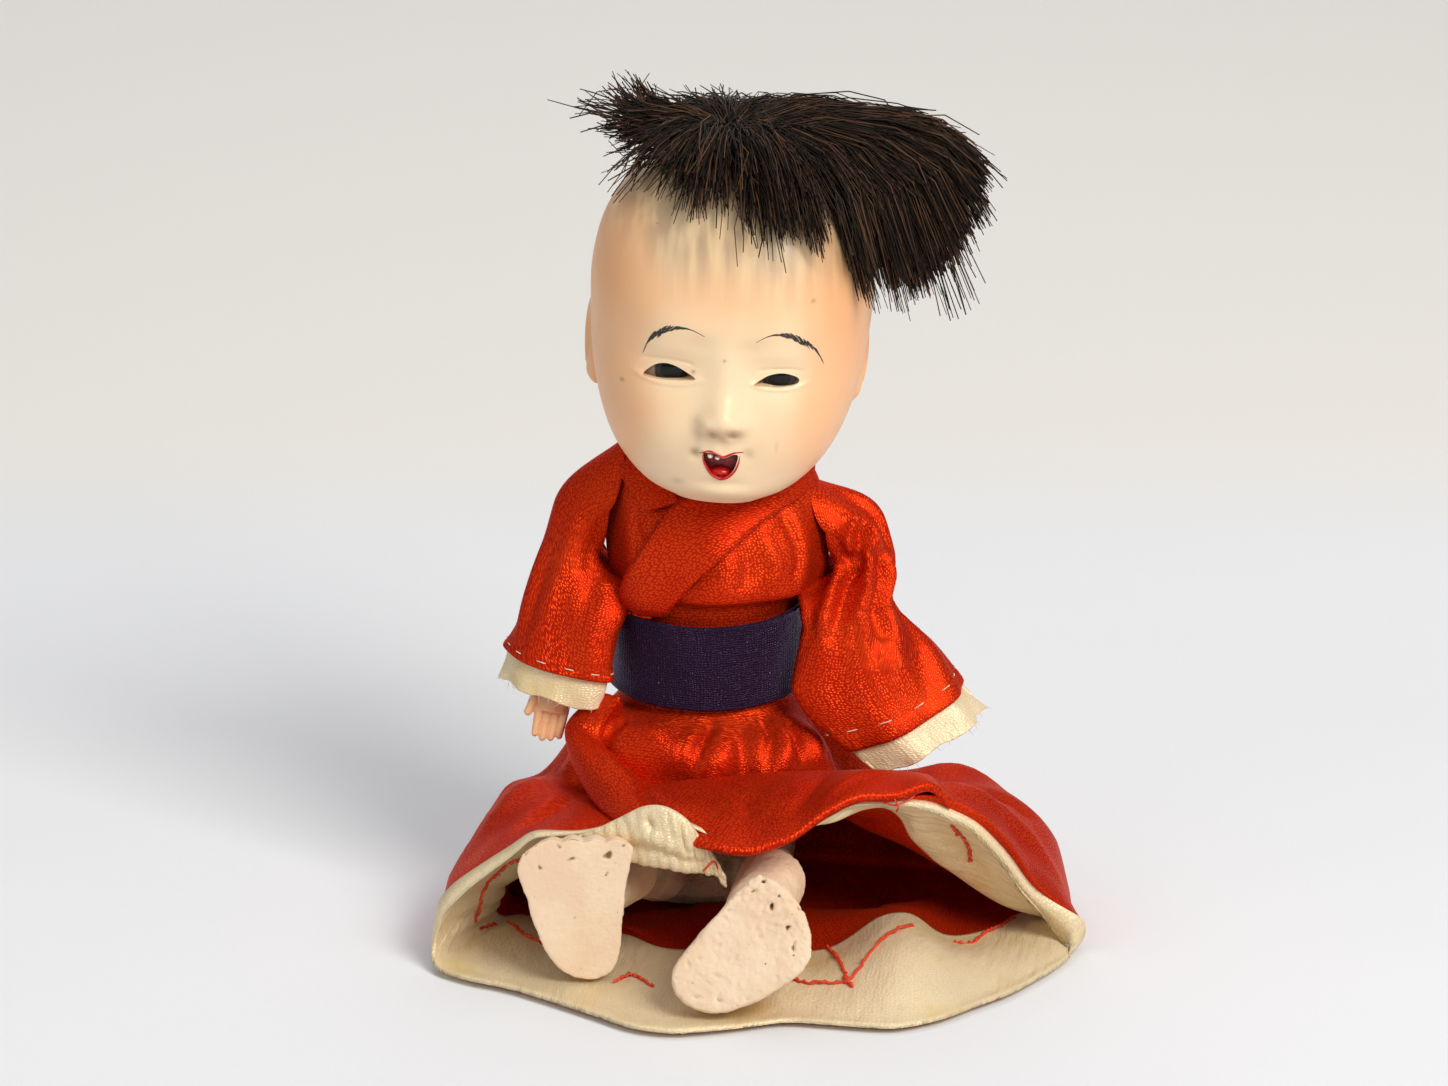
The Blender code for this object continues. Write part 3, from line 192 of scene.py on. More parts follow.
FRINGE_LOCKS = (
    ((14.6, -16.4, 83.2), 1.8, 2.0),
    ((11.4, -18.2, 84.6), 1.8, 1.9),
    ((8.0, -18.6, 86.6), 1.8, 1.8),
    ((3.6, -18.0, 88.0), 1.8, 1.6),
    ((-1.6, -16.6, 88.9), 1.8, 1.4),
    ((-6.0, -13.2, 90.0), 1.8, 1.2),
    ((-10.6, -7.0, 92.0), 1.8, 1.2),
)
SPIKE_LOCKS = (
    ((-10.8, -5.0, 94.2), 2.0, 1.2),
    ((-12.4, -2.0, 96.8), 2.2, 1.6),
    ((-10.0, 0.0, 101.0), 2.2, 2.0),
    ((-9.0, 4.8, 97.6), 2.0, 1.6),
)
BACK_LOCKS = (
    ((-8.6, 5.8, 95.6), 2.0, 1.6),
    ((-1.4, 11.0, 95.8), 2.0, 1.8),
    ((7.0, 13.4, 94.4), 2.2, 2.0),
    ((14.8, 11.0, 93.4), 2.6, 2.4),
    ((22.0, 7.0, 91.0), 3.0, 2.8),
)

# Kimono bodice and collar, as in the frame
BODICE_ROWS = np.array((
    # height, middle across, middle front to back, half width, half depth, front dip
    (31.0, 0.0, 0.0, 10.2, 8.4, 0.0),
    (39.0, 0.3, 0.0, 10.4, 8.7, 0.0),
    (41.4, 1.2, -0.2, 12.3, 10.4, 0.5),
    (46.0, 1.3, 0.0, 13.0, 10.0, 0.5),
    (50.8, 1.2, 0.8, 13.1, 8.9, 0.4),
    (54.2, 1.1, 1.5, 12.4, 7.6, 1.4),
    (56.2, 1.2, 1.9, 10.6, 6.9, 3.2),
    (56.4, 1.4, 2.0, 8.6, 6.5, 4.7),
))
SHOULDER_SLOPE = 0.10
SHOULDER_SLOPE_FROM = 44.0
BODICE_FOLD = 0.28
BODICE_FOLDS = 8
COLLAR_NECK_EDGE = (
    # angle in degrees from the front, row
    (-17.0, 4.30), (-34.0, 5.30), (-62.0, 6.45), (-110.0, 6.80), (-180.0, 6.85), (-250.0, 6.80),
    (-298.0, 6.45), (-330.0, 5.70), (-356.0, 4.95), (-380.0, 4.25), (-404.0, 2.90), (-424.0, 1.40),
)
COLLAR_OUTER_EDGE = (
    (-38.0, 3.90), (-58.0, 4.70), (-80.0, 5.65), (-118.0, 5.90), (-180.0, 5.95), (-242.0, 5.90),
    (-280.0, 5.60), (-308.0, 4.80), (-334.0, 4.00), (-358.0, 3.10), (-380.0, 2.10), (-398.0, 1.25),
)

# Sleeves: ring middle, reach to the outer edge, reach to the back, bend of front and back
SLEEVE_RINGS = {
    "right": (
        (-12.9, 0.8, 50.1, 0.2, 0.0, 6.4, 0.0, 4.5, 0.0, 1.3),
        (-15.3, 0.2, 46.9, -1.9, 0.9, 5.2, 0.4, 4.7, 0.0, 0.3),
        (-15.7, -2.0, 43.2, -3.6, 2.2, 2.3, 1.8, 3.4, 0.0, 0.0),
        (-16.5, -4.0, 38.7, -5.2, 2.9, 0.7, 1.7, 3.2, 0.0, 0.0),
        (-17.2, -4.9, 34.7, -5.9, 2.8, 1.1, 1.6, 3.4, 0.0, 0.0),
        (-17.8, -5.3, 31.9, -6.5, 2.7, 1.45, 1.5, 3.6, 0.0, 0.0),
    ),
    "left": (
        (15.4, 0.8, 47.6, -0.2, 0.0, 5.0, 0.0, 4.5, 0.0, 1.3),
        (17.8, 0.2, 45.4, 2.0, 0.8, 4.6, -0.4, 4.7, 0.0, 0.3),
        (18.3, -2.2, 42.2, 3.4, 2.4, 2.1, -1.8, 3.5, 0.0, 0.0),
        (17.7, -4.0, 38.0, 3.9, 3.0, 1.0, -1.9, 3.4, 0.0, 0.0),
        (20.7, -5.5, 31.4, 6.4, 3.6, 2.4, -2.0, 3.5, 0.0, 0.0),
        (23.8, -6.5, 25.7, 6.8, 3.5, 3.3, -2.0, 3.6, 0.0, 0.0),
    ),
}
SLEEVE_FOLD = 0.045
SHOULDER_LAPS = {  # how far the top reaches over the bodice, how far it rises
    "right": (2.8, 1.7), "left": (3.0, 0.8),
}
SLEEVE_CREASES = {
    # rise, width, line over the cloth
    "right": (
        (0.6, 1.3, ((-15.0, -3.0, 50.0), (-17.4, -5.0, 44.0), (-19.6, -6.0, 37.0))),
        (-0.6, 1.2, ((-12.0, -3.0, 50.0), (-13.6, -6.0, 44.0), (-14.0, -7.6, 37.0))),
        (-0.45, 1.0, ((-18.6, -2.0, 46.0), (-20.6, -5.0, 40.0), (-22.0, -6.5, 34.0))),
        (0.5, 1.2, ((-13.4, -7.0, 40.0), (-14.0, -8.4, 35.0), (-14.0, -8.6, 31.0))),
    ),
    "left": (
        (0.9, 0.8, ((18.0, -3.5, 50.0), (15.6, -6.0, 43.6), (13.0, -8.4, 37.0))),
        (-0.9, 0.7, ((19.0, -3.5, 49.6), (17.0, -6.4, 42.6), (14.4, -8.8, 36.0))),
        (0.9, 0.9, ((20.4, -3.0, 49.0), (18.8, -6.4, 42.0), (16.0, -9.0, 34.4))),
        (-0.8, 0.9, ((21.4, -2.0, 47.0), (20.6, -6.0, 41.0), (19.4, -8.6, 33.0))),
        (0.7, 1.4, ((22.0, -2.0, 45.0), (22.8, -6.0, 38.6), (22.4, -9.0, 31.0))),
        (-0.5, 1.3, ((23.0, -3.0, 40.0), (26.0, -7.0, 34.4), (27.0, -9.0, 29.0))),
    ),
}
BODICE_CREASES = (
    # rise, width, line over the cloth
    (-0.7, 0.8, ((9.0, -7.0, 52.0), (11.2, -7.5, 46.5), (10.8, -8.5, 42.0))),
    (0.7, 1.1, ((6.5, -9.0, 50.0), (8.4, -9.8, 45.5), (8.0, -10.4, 42.0))),
    (-0.5, 0.9, ((4.4, -10.0, 48.0), (5.2, -10.6, 44.6), (4.0, -11.0, 41.6))),
    (-0.6, 0.8, ((-9.2, -6.6, 51.0), (-9.0, -8.5, 45.5), (-7.2, -9.6, 41.6))),
    (0.5, 1.2, ((-6.4, -9.0, 47.0), (-5.2, -10.4, 43.5), (-2.4, -11.0, 41.8))),
    (0.6, 1.2, ((-3.0, 8.0, 52.0), (-4.0, 9.0, 46.0), (-3.0, 9.6, 42.0))),
    (-0.6, 1.0, ((3.0, 8.0, 52.0), (4.0, 9.4, 46.0), (5.0, 9.6, 42.0))),
)
SLEEVE_FALLS_INWARD = {
    # row of the rings, how far the inner side falls towards the body
    "right": ((0.4, 0.0), (1.1, 2.8), (1.9, 4.6), (2.7, 2.6), (3.5, 0.8), (4.4, 0.0)),
    "left": ((0.4, 0.0), (1.1, 2.8), (1.9, 4.4), (2.6, 2.8), (3.1, 2.2), (3.5, 3.2), (3.9, 4.4),
             (4.4, 3.2), (5.0, 0.3)),
}
SLEEVE_FOLDS = {"right": 4, "left": 6}
SLEEVE_COLUMNS = 132
SLEEVE_ROWS = 110
CUFF_SHOWS = {"right": 3.4, "left": 3.8}

# Kimono skirt, twelve points a ring from the front round by the doll's left
WAIST_RINGS = ((30.6, 10.2, 8.4), (26.9, 10.7, 9.3))
SKIRT_RINGS = (
    ((0.0, -11.4, 24.6), (6.4, -11.0, 24.4), (11.2, -8.4, 23.8), (13.8, -3.0, 22.6),
     (13.4, 3.2, 22.0), (8.8, 8.6, 21.6), (0.0, 10.6, 21.8), (-8.8, 8.6, 22.0),
     (-13.6, 3.0, 22.6), (-14.6, -3.4, 24.0), (-12.0, -8.8, 25.0), (-6.4, -11.2, 25.0)),
    ((0.0, -14.4, 19.4), (7.0, -13.8, 18.8), (13.2, -10.6, 18.0), (18.6, -4.2, 17.2),
     (20.4, 3.0, 16.0), (12.6, 9.8, 12.4), (0.0, 12.6, 12.4), (-12.6, 9.8, 12.8),
     (-18.6, 3.0, 15.6), (-19.0, -4.4, 18.2), (-13.0, -10.4, 18.8), (-7.0, -13.8, 19.4)),
    ((1.0, -20.0, 17.4), (9.0, -19.8, 18.4), (17.6, -16.2, 17.6), (25.8, -8.2, 18.0),
     (32.6, 2.0, 15.2), (21.6, 12.4, 5.0), (0.0, 14.6, 4.6), (-17.4, 12.0, 5.0),
     (-23.8, 3.6, 12.4), (-23.6, -6.4, 17.0), (-16.0, -15.6, 18.4), (-8.0, -19.0, 18.6)),
    ((2.0, -25.0, 17.0), (11.0, -23.0, 20.2), (21.2, -20.4, 20.8), (33.4, -11.6, 18.8),
     (41.6, 3.0, 7.2), (31.6, 9.0, 0.0), (0.0, 12.6, 0.0), (-21.6, 9.0, 0.0),
     (-27.8, 1.6, 5.2), (-28.2, -11.6, 12.0), (-19.2, -20.8, 17.6), (-9.0, -23.2, 18.8)),
    ((3.0, -29.0, 17.0), (12.4, -26.4, 19.8), (23.4, -22.8, 20.4), (37.4, -15.6, 14.2),
     (43.4, -4.6, 4.4), (35.6, -8.0, 0.0), (0.0, -14.0, 0.0), (-25.6, -8.0, 0.0),
     (-31.0, -8.6, 3.4), (-30.0, -18.2, 9.6), (-20.4, -24.8, 16.8), (-8.0, -26.8, 19.2)),
    ((3.9, -32.6, 17.0), (12.6, -29.2, 19.4), (25.4, -24.4, 19.6), (37.6, -19.2, 11.4),
     (42.8, -20.0, 2.6), (33.6, -36.6, 0.0), (4.0, -49.0, 0.0), (-21.6, -40.2, 0.0),
     (-32.0, -24.6, 2.6), (-29.2, -25.4, 9.2), (-20.6, -27.6, 16.8), (-6.8, -29.4, 20.2)),
)
RING_POINTS = 12
SKIRT_COLUMNS = 300
SKIRT_ROWS = 120
GATHERS = 10
GATHER_DEPTH = 0.55
SILK_THICK = 0.3
LINING_GAP = 0.4
FACING_ROWS = 36
LINING_ROWS = 26
SKIRT_MOUTH_MIDDLE = (4.0, -28.0, 9.0)
HEM_LINE = (
    # column of the table above, and the place of the hem's edge
    (0.0, 4.4, -31.0, 17.4), (0.4, 8.5, -30.2, 18.2), (0.7, 11.8, -29.4, 19.3),
    (1.15, 16.7, -28.0, 21.4),
    (1.6, 21.7, -26.2, 21.1), (2.05, 26.7, -24.6, 20.0), (2.4, 31.5, -23.2, 17.2),
    (2.7, 35.1, -22.3, 12.8),
    (3.0, 37.5, -21.6, 8.4), (3.4, 40.6, -21.0, 4.8), (3.8, 42.8, -20.4, 2.0),
    (4.0, 43.3, -20.6, 1.0),
    (4.25, 42.4, -23.4, 0.5), (4.5, 40.5, -27.1, 0.4), (4.8, 37.4, -32.0, 0.4),
    (5.0, 35.0, -35.6, 0.4),
    (5.15, 30.9, -39.7, 0.4), (5.35, 26.9, -44.2, 0.4), (5.5, 21.6, -47.4, 0.4),
    (5.75, 14.0, -45.8, 0.4),
    (5.9, 9.0, -44.6, 0.4), (6.05, 3.8, -46.9, 0.4), (6.25, -3.7, -49.0, 0.4),
    (6.45, -8.4, -47.4, 0.4),
    (6.6, -12.5, -43.1, 0.4), (6.85, -18.6, -37.3, 0.4), (7.1, -22.7, -33.6, 0.4),
    (7.45, -27.9, -30.6, 0.4),
    (7.75, -31.4, -27.4, 0.6), (8.0, -32.4, -24.9, 1.4), (8.3, -32.2, -24.0, 3.4),
    (8.7, -31.2, -24.0, 7.0),
    (9.1, -28.6, -24.5, 10.0), (9.5, -25.5, -25.0, 12.5), (9.8, -22.2, -26.0, 15.2),
    (10.0, -20.4, -27.0, 17.2),
    (10.25, -18.0, -27.5, 17.4), (10.6, -14.2, -28.2, 17.8), (10.9, -10.6, -29.0, 19.0),
    (11.15, -7.5, -30.2, 20.9), (11.4, -4.8, -31.2, 21.2), (11.65, -1.9, -31.0, 19.6),
    (11.85, 1.4, -30.9, 18.0),
)
FACING_INNER_LINE = (
    # the same for the facing's inner edge
    (0.0, 4.4, -30.8, 18.6), (0.7, 11.6, -27.4, 18.9), (1.2, 17.6, -24.6, 20.2),
    (1.6, 21.9, -22.4, 18.9),
    (1.9, 23.4, -20.4, 16.8), (2.2, 25.0, -18.2, 13.1), (2.5, 27.2, -17.0, 10.4),
    (2.8, 31.9, -16.0, 7.4),
    (3.1, 36.1, -15.6, 4.9), (3.5, 39.6, -14.8, 3.2), (3.9, 41.0, -13.6, 2.0),
    (4.3, 38.9, -11.8, 2.6),
    (4.6, 36.8, -11.9, 2.4), (4.8, 35.0, -14.5, 1.8), (5.0, 31.3, -17.6, 1.5),
    (5.1, 28.9, -18.5, 1.5),
    (5.2, 27.0, -19.4, 2.4), (5.3, 25.3, -18.9, 4.4), (5.4, 23.5, -18.7, 5.2),
    (5.5, 20.5, -19.5, 5.0),
    (5.6, 18.6, -20.8, 4.0), (5.7, 16.8, -22.0, 2.8), (5.8, 14.5, -23.2, 1.7),
    (5.9, 11.6, -24.0, 1.5),
    (6.1, 5.0, -23.0, 1.4), (6.3, -2.0, -22.5, 1.4), (6.45, -6.1, -22.4, 1.4),
    (6.55, -8.8, -17.4, 1.4),
    (6.8, -13.5, -14.0, 1.4), (7.2, -19.0, -12.0, 1.5), (7.5, -22.6, -11.8, 1.8),
    (8.0, -25.2, -12.6, 3.0),
    (8.5, -25.0, -13.0, 5.0), (9.0, -23.8, -14.0, 7.2), (9.5, -21.6, -16.0, 9.8),
    (10.0, -19.2, -18.4, 12.6),
    (10.5, -15.8, -21.4, 15.4), (11.0, -10.4, -24.0, 17.4), (11.5, -3.4, -27.4, 18.8),
)
FACING_LIFTS = (
    # column, rise of the facing's middle, how far in the lining behind it ends
    (0.0, 0.0, 16.0), (1.5, 0.3, 18.0), (2.5, -0.4, 24.0), (3.5, -0.3, 28.0), (4.4, 0.6, 34.0),
    (5.0, 1.0, 38.0),
    (5.25, 2.0, 38.0), (5.45, 2.6, 38.0), (5.7, 1.2, 38.0), (6.2, 0.4, 38.0), (6.9, 0.6, 38.0),
    (7.6, 0.9, 34.0),
    (8.3, 0.0, 30.0), (9.2, -0.3, 24.0), (10.2, 0.0, 20.0), (11.0, 0.0, 16.0),
)
MOUTH_RIPPLES = (
    # depth, drift, seed, number of waves, waves across, waves along, first row, row of full depth
    (0.14, 0.1, 29, 8, (14, 34), (-1.5, 1.5), 0.1, 0.8),
    (0.42, 0.2, 67, 7, (5, 13), (-1.5, 1.5), 0.2, 1.0),
    (0.55, 0.3, 83, 6, (6, 15), (-1.0, 1.0), 2.0, 3.0),
)
EDGE_ROLL = (
    # column, how far the red rolls over the cream edge
    (1.2, 0.3), (1.8, 1.2), (2.1, 2.3), (2.5, 2.3), (2.9, 2.0), (3.3, 2.6), (3.65, 3.4),
    (3.95, 1.6), (4.15, 0.2),
    (5.0, 0.0), (8.2, 0.0), (9.0, 0.5), (10.0, 0.3), (11.0, 0.1),
)
SKIRT_FOLDS = (
    # rise, width, line over the skirt
    (-1.2, 0.9, ((-9.6, -9.6, 28.4), (-11.4, -10.0, 25.6), (-12.6, -10.0, 23.6))),
    (-0.9, 0.7, ((0.6, -11.0, 27.2), (0.0, -12.2, 24.6), (-0.9, -13.6, 21.9))),
    (0.5, 1.2, ((-1.4, -11.4, 26.4), (-2.4, -12.8, 23.6), (-3.4, -13.8, 21.6))),
    (0.7, 2.0, ((-7.4, -10.6, 26.0), (-5.4, -12.4, 23.4), (-1.4, -13.4, 22.0))),
    (-1.0, 0.8, ((6.9, -10.0, 28.3), (7.6, -11.6, 24.6), (7.2, -13.4, 21.5))),
    (0.8, 0.8, ((8.4, -9.6, 28.2), (9.2, -11.0, 24.6), (9.0, -12.6, 21.4))),
    (-1.1, 0.8, ((10.2, -8.6, 27.8), (11.2, -9.8, 24.4), (11.4, -11.6, 21.2))),
    (0.7, 1.0, ((12.2, -7.6, 27.2), (13.6, -8.6, 23.6), (14.6, -10.4, 20.6))),
    (-0.8, 1.0, ((13.4, -4.6, 26.4), (16.0, -5.6, 21.6), (19.4, -8.2, 19.2))),
    (0.9, 2.2, ((-17.6, -8.0, 20.3), (-22.6, -10.0, 16.0), (-25.0, -14.0, 10.8))),
    (-1.0, 1.3, ((-15.7, -14.0, 19.6), (-18.8, -17.0, 17.9), (-21.7, -20.0, 15.4))),
    (-0.8, 1.4, ((-20.0, -3.0, 18.6), (-24.4, -5.0, 13.6), (-27.6, -10.0, 8.0))),
    (0.9, 1.8, ((26.6, -21.0, 21.6), (33.4, -16.0, 19.2), (39.1, -14.0, 13.6),
    (42.3, -14.0, 6.8))),
    (-1.1, 1.4, ((27.2, -15.0, 19.6), (36.0, -9.0, 17.6), (39.9, -8.0, 13.6))),
    (0.7, 1.8, ((22.0, -6.0, 18.6), (30.0, -2.0, 17.6), (37.0, 2.0, 14.0))),
    (-0.8, 1.6, ((16.0, 8.0, 19.0), (22.0, 12.0, 10.0), (26.0, 13.0, 4.0))),
    (-0.8, 1.8, ((3.0, 11.0, 21.0), (5.0, 14.0, 12.0), (8.0, 15.0, 4.0))),
    (0.8, 1.8, ((-4.0, 11.0, 21.0), (-5.0, 14.0, 12.0), (-9.0, 15.0, 4.0))),
    (-0.9, 1.6, ((-11.0, 8.0, 20.0), (-15.0, 12.0, 11.0), (-19.0, 12.0, 4.0))),
)
OVER_PANEL = (
    # upper edge, lower edge and rise between them, from the doll's right to its left
    ((-10.4, -8.6, 28.4), (-13.2, -6.6, 28.2), 0.3),
    ((-12.6, -9.0, 24.9), (-16.4, -7.6, 25.2), 0.8),
    ((-12.3, -10.5, 22.7), (-16.5, -10.0, 23.4), 1.5),
    ((-9.9, -12.5, 21.0), (-15.1, -14.0, 20.9), 2.0),
    ((-7.3, -14.5, 19.3), (-12.6, -20.0, 19.1), 2.1),
    ((-5.1, -15.5, 19.2), (-9.2, -26.0, 18.5), 1.9),
    ((-2.0, -15.5, 20.1), (-4.0, -30.2, 18.3), 1.5),
    ((1.5, -15.5, 20.4), (0.5, -33.0, 18.1), 1.2),
    ((5.3, -15.5, 20.9), (4.7, -33.4, 17.6), 1.1),
    ((9.8, -15.0, 21.0), (9.6, -32.4, 18.9), 1.1),
    ((14.5, -15.0, 21.0), (13.7, -30.8, 21.3), 1.0),
    ((19.0, -15.5, 21.3), (17.6, -29.2, 22.7), 0.8),
    ((22.8, -17.0, 21.6), (22.0, -27.8, 22.5), 0.6),
    ((26.3, -20.0, 21.8), (26.0, -25.8, 23.0), 0.3),
    ((29.0, -20.6, 19.6), (28.6, -24.4, 20.4), 0.0),
)
CREAM_CORNER = (
    # upper and lower edge of the facing's turned corner, from the doll's right to its tip
    ((-15.0, -28.5, 17.6), (-14.4, -28.3, 16.6)),
    ((-12.4, -29.2, 18.7), (-11.8, -29.5, 15.8)),
    ((-9.8, -30.0, 20.2), (-9.0, -30.2, 15.2)),
    ((-7.2, -30.9, 21.7), (-6.4, -31.0, 14.9)),
    ((-4.8, -31.7, 21.9), (-4.0, -31.5, 14.6)),
    ((-2.4, -31.9, 20.5), (-1.6, -31.4, 14.2)),
    ((-0.7, -31.6, 18.0), (0.0, -31.0, 13.9)),
    ((0.8, -30.9, 15.7), (1.0, -30.6, 13.6)),
    ((2.1, -30.3, 13.0), (2.3, -30.0, 11.9)),
)
PANEL_FOLDS = (
    # rise, width, line over the cloth
    (-0.9, 0.8, ((-6.6, -17.0, 20.4), (-7.6, -20.6, 20.6), (-6.0, -25.0, 20.0),
    (-2.4, -29.0, 18.8))),
    (0.7, 1.1, ((-12.4, -12.0, 22.8), (-11.0, -16.0, 21.6), (-6.4, -22.0, 20.8))),
    (-0.5, 1.0, ((2.0, -18.0, 21.2), (4.4, -24.0, 20.6), (4.6, -29.0, 19.4))),
    (0.5, 1.6, ((9.0, -19.0, 21.6), (7.4, -24.0, 20.8), (7.8, -29.0, 19.8))),
    (-0.5, 0.9, ((14.0, -18.0, 22.0), (12.0, -24.0, 21.6), (10.4, -29.6, 20.0))),
    (0.5, 1.2, ((20.0, -20.0, 22.4), (16.0, -25.0, 22.4), (13.0, -29.4, 21.4))),
)
CORNER_FOLDS = (
    # rise, width, line over the cloth
    (-0.7, 0.5, ((-7.4, -31.4, 20.6), (-6.2, -31.8, 19.6))),
    (0.4, 0.8, ((-11.0, -30.6, 18.6), (-6.0, -31.8, 18.4), (-1.4, -31.8, 16.4))),
    (-0.35, 0.6, ((-10.0, -30.6, 17.0), (-5.0, -31.6, 16.6), (-1.0, -31.2, 15.2))),
    (-0.4, 0.5, ((-3.4, -32.0, 20.4), (-2.2, -31.8, 17.6), (-0.6, -31.2, 15.0))),
)
LOOSE_TACKS = (
    # red threads in the air: at the corner's tip, at the panel's edge
    ((-0.4, -31.6, 14.3), (0.2, -31.9, 15.1), (0.9, -31.5, 15.4), (1.3, -31.0, 14.4)),
    ((21.4, -27.2, 22.6), (21.9, -28.2, 21.9), (22.3, -28.0, 20.9), (22.1, -27.0, 20.1)),
    ((20.6, -27.6, 21.4), (22.0, -28.0, 21.2), (23.6, -27.4, 21.7), (24.2, -26.6, 21.9)),
)
THREAD_RADIUS = 0.2
THREAD_LIFT = 0.36
TACK_RADIUS = 0.12
HEM_STITCHES = (
    # lines of red thread over the facing
    ((-19.6, -22.0, 13.8), (-22.9, -21.4, 12.2), (-24.8, -20.6, 10.9), (-25.4, -19.8, 8.6),
     (-25.9, -19.0, 6.2),
     (-26.7, -18.6, 3.5)),
    ((-27.7, -16.5, 1.6), (-24.2, -14.8, 1.5), (-22.2, -18.8, 1.5), (-19.0, -22.4, 1.5)),
    ((-10.8, -34.2, 1.5), (-8.6, -32.5, 1.5), (-6.2, -36.3, 1.5)),
    ((9.1, -33.5, 1.5), (11.7, -36.3, 1.5), (16.9, -37.0, 1.5), (20.7, -31.4, 2.5),
     (23.9, -25.4, 3.0),
     (27.0, -21.7, 1.8), (30.9, -21.8, 1.5), (33.2, -17.3, 1.5), (34.8, -15.5, 1.6),
     (36.7, -13.2, 2.3)),
    ((14.4, -23.6, 1.6), (15.2, -27.0, 1.6), (16.0, -31.0, 1.6), (16.8, -37.4, 1.5)),
    ((16.2, -36.4, 1.5), (17.2, -38.6, 1.5)),
    ((28.8, -22.6, 17.4), (30.2, -21.4, 13.4), (30.9, -20.0, 11.0)),
)

# Obi
OBI_FOOT = 27.3
OBI_HEIGHT = 10.4
OBI_HALF_WIDTH = 11.8
OBI_HALF_DEPTH = 10.4
OBI_SIDE_RISE = 1.1

# Lower legs: the sole's heel point, then its roll, lean and yaw in degrees
SOLES = {
    "right": (Vector((-14.2, -34.4, 1.75)), 1.0, 3.0, 2.0),
    "left": (Vector((-2.6, -46.2, 2.95)), 42.0, 10.0, -6.0),
}

# Stage, in metres
FLOOR_PROFILE = (
    # distance from the camera's side, height
    (-2.0, 0.0), (-0.4, 0.0), (0.3, 0.0), (0.9, 0.0), (1.2, 0.01), (1.4, 0.08), (1.5, 0.3),
    (1.5, 1.2),
)
FLOOR_WIDTH = 4.0
LAMPS = (
    # name, place, point it is aimed at, side, power in watts, colour
    ("key", (0.55, -0.75, 0.75), (0.0, 0.0, 0.05), 0.5, 11.5, (1.0, 0.96, 0.9)),
    ("fill", (-0.8, -0.6, 0.5), (0.0, 0.0, 0.05), 0.9, 1.7, (0.97, 0.98, 1.0)),
    ("top", (0.0, 0.2, 1.0), (0.0, 0.0, 0.05), 0.8, 2.2, (1.0, 0.99, 0.97)),
    ("table", (0.0, 0.8, 0.55), (0.0, 0.65, 0.0), 0.9, 1.5, (1.0, 0.99, 0.97)),
)
ROOM_COLOUR = (0.97, 0.985, 1.0)
CAMERA_TARGET = (0.002, 0.0, 0.0453)
CAMERA_DISTANCE = 0.7
CAMERA_ELEVATION = math.radians(15.0)
CAMERA_LENS = 145.03


def smooth_step(low, high, value):
    """0 below low, 1 above high, and a smooth ramp between them, for arrays too."""
    t = np.clip((np.asarray(value, float) - low) / (high - low), 0.0, 1.0)
    return t * t * (3.0 - 2.0 * t)


def bell(value, middle, spread):
    """A smooth bump of height 1."""
    return np.exp(-0.5 * ((np.asarray(value, float) - middle) / spread) ** 2)


def catmull(before, start, end, after, t):
    """Points between start and end on Catmull-Rom curves."""
    return 0.5 * (
        2.0 * start
        + (end - before) * t
        + (2.0 * before - 5.0 * start + 4.0 * end - after) * t * t
        + (3.0 * start - before - 3.0 * end + after) * t * t * t
    )


def read_open(table, places):
    """The smooth curve through a table's rows, read at the places; whole numbers are rows."""
    table = np.asarray(table, float)
    places = np.asarray(places, float)
    padded = np.concatenate(
        [2.0 * table[:1] - table[1:2], table, 2.0 * table[-1:] - table[-2:-1]]
    )
    i = np.clip(np.floor(places).astype(int), 0, len(table) - 2)
    t = (places - i).reshape((-1,) + (1,) * (table.ndim - 1))
    return catmull(padded[i], padded[i + 1], padded[i + 2], padded[i + 3], t)


def read_closed(table, places):
    """The same for a table whose rows make a closed ring."""
    table = np.asarray(table, float)
    places = np.asarray(places, float)
    count = len(table)
    i = np.floor(places).astype(int)
    t = (places - i).reshape((-1,) + (1,) * (table.ndim - 1))
    near = [table[(i + k) % count] for k in (-1, 0, 1, 2)]
    return catmull(*near, t)


def ripples(across, along, seed, count, waves_across, waves_along):
    """Soft waves that meet round a closed cloth, between about -1 and 1."""
    draw = np.random.default_rng(seed)
    total = np.zeros(np.broadcast(across, along).shape)
    for _ in range(count):
        round_waves = draw.integers(waves_across[0], waves_across[1] + 1)
        long_waves = draw.uniform(*waves_along)
        phase = draw.uniform(0.0, TAU)
        total += draw.uniform(0.5, 1.0) * np.sin(
            TAU * (round_waves * across + long_waves * along) + phase
        )
    return total / math.sqrt(count)


def unit(vectors):
    """Rows of vectors, each brought to length 1."""
    return vectors / np.linalg.norm(vectors, axis=1, keepdims=True)


def surface_normals(points, closed):
    """Unit normals of a grid of points, rows by columns."""
    along = np.gradient(points, axis=0)
    if closed:
        ring = points[:, :-1]
        across = np.roll(ring, -1, axis=1) - np.roll(ring, 1, axis=1)
        across = np.concatenate([across, across[:, :1]], axis=1)
    else:
        across = np.gradient(points, axis=1)
    normal = np.cross(across, along)
    length = np.linalg.norm(normal, axis=2, keepdims=True)
    return normal / np.maximum(length, 1e-9)


def cloth_lengths(points):
    """How far each point lies across and along the cloth, in millimetres."""
    steps_across = np.linalg.norm(np.diff(points, axis=1), axis=2)
    across = np.concatenate([np.zeros((len(points), 1)), np.cumsum(steps_across, axis=1)], axis=1)
    across -= across[:, -1:] * 0.5
    steps_along = np.linalg.norm(np.diff(points, axis=0), axis=2)
    along = np.concatenate([np.zeros((1, points.shape[1])), np.cumsum(steps_along, axis=0)])
    return across, along


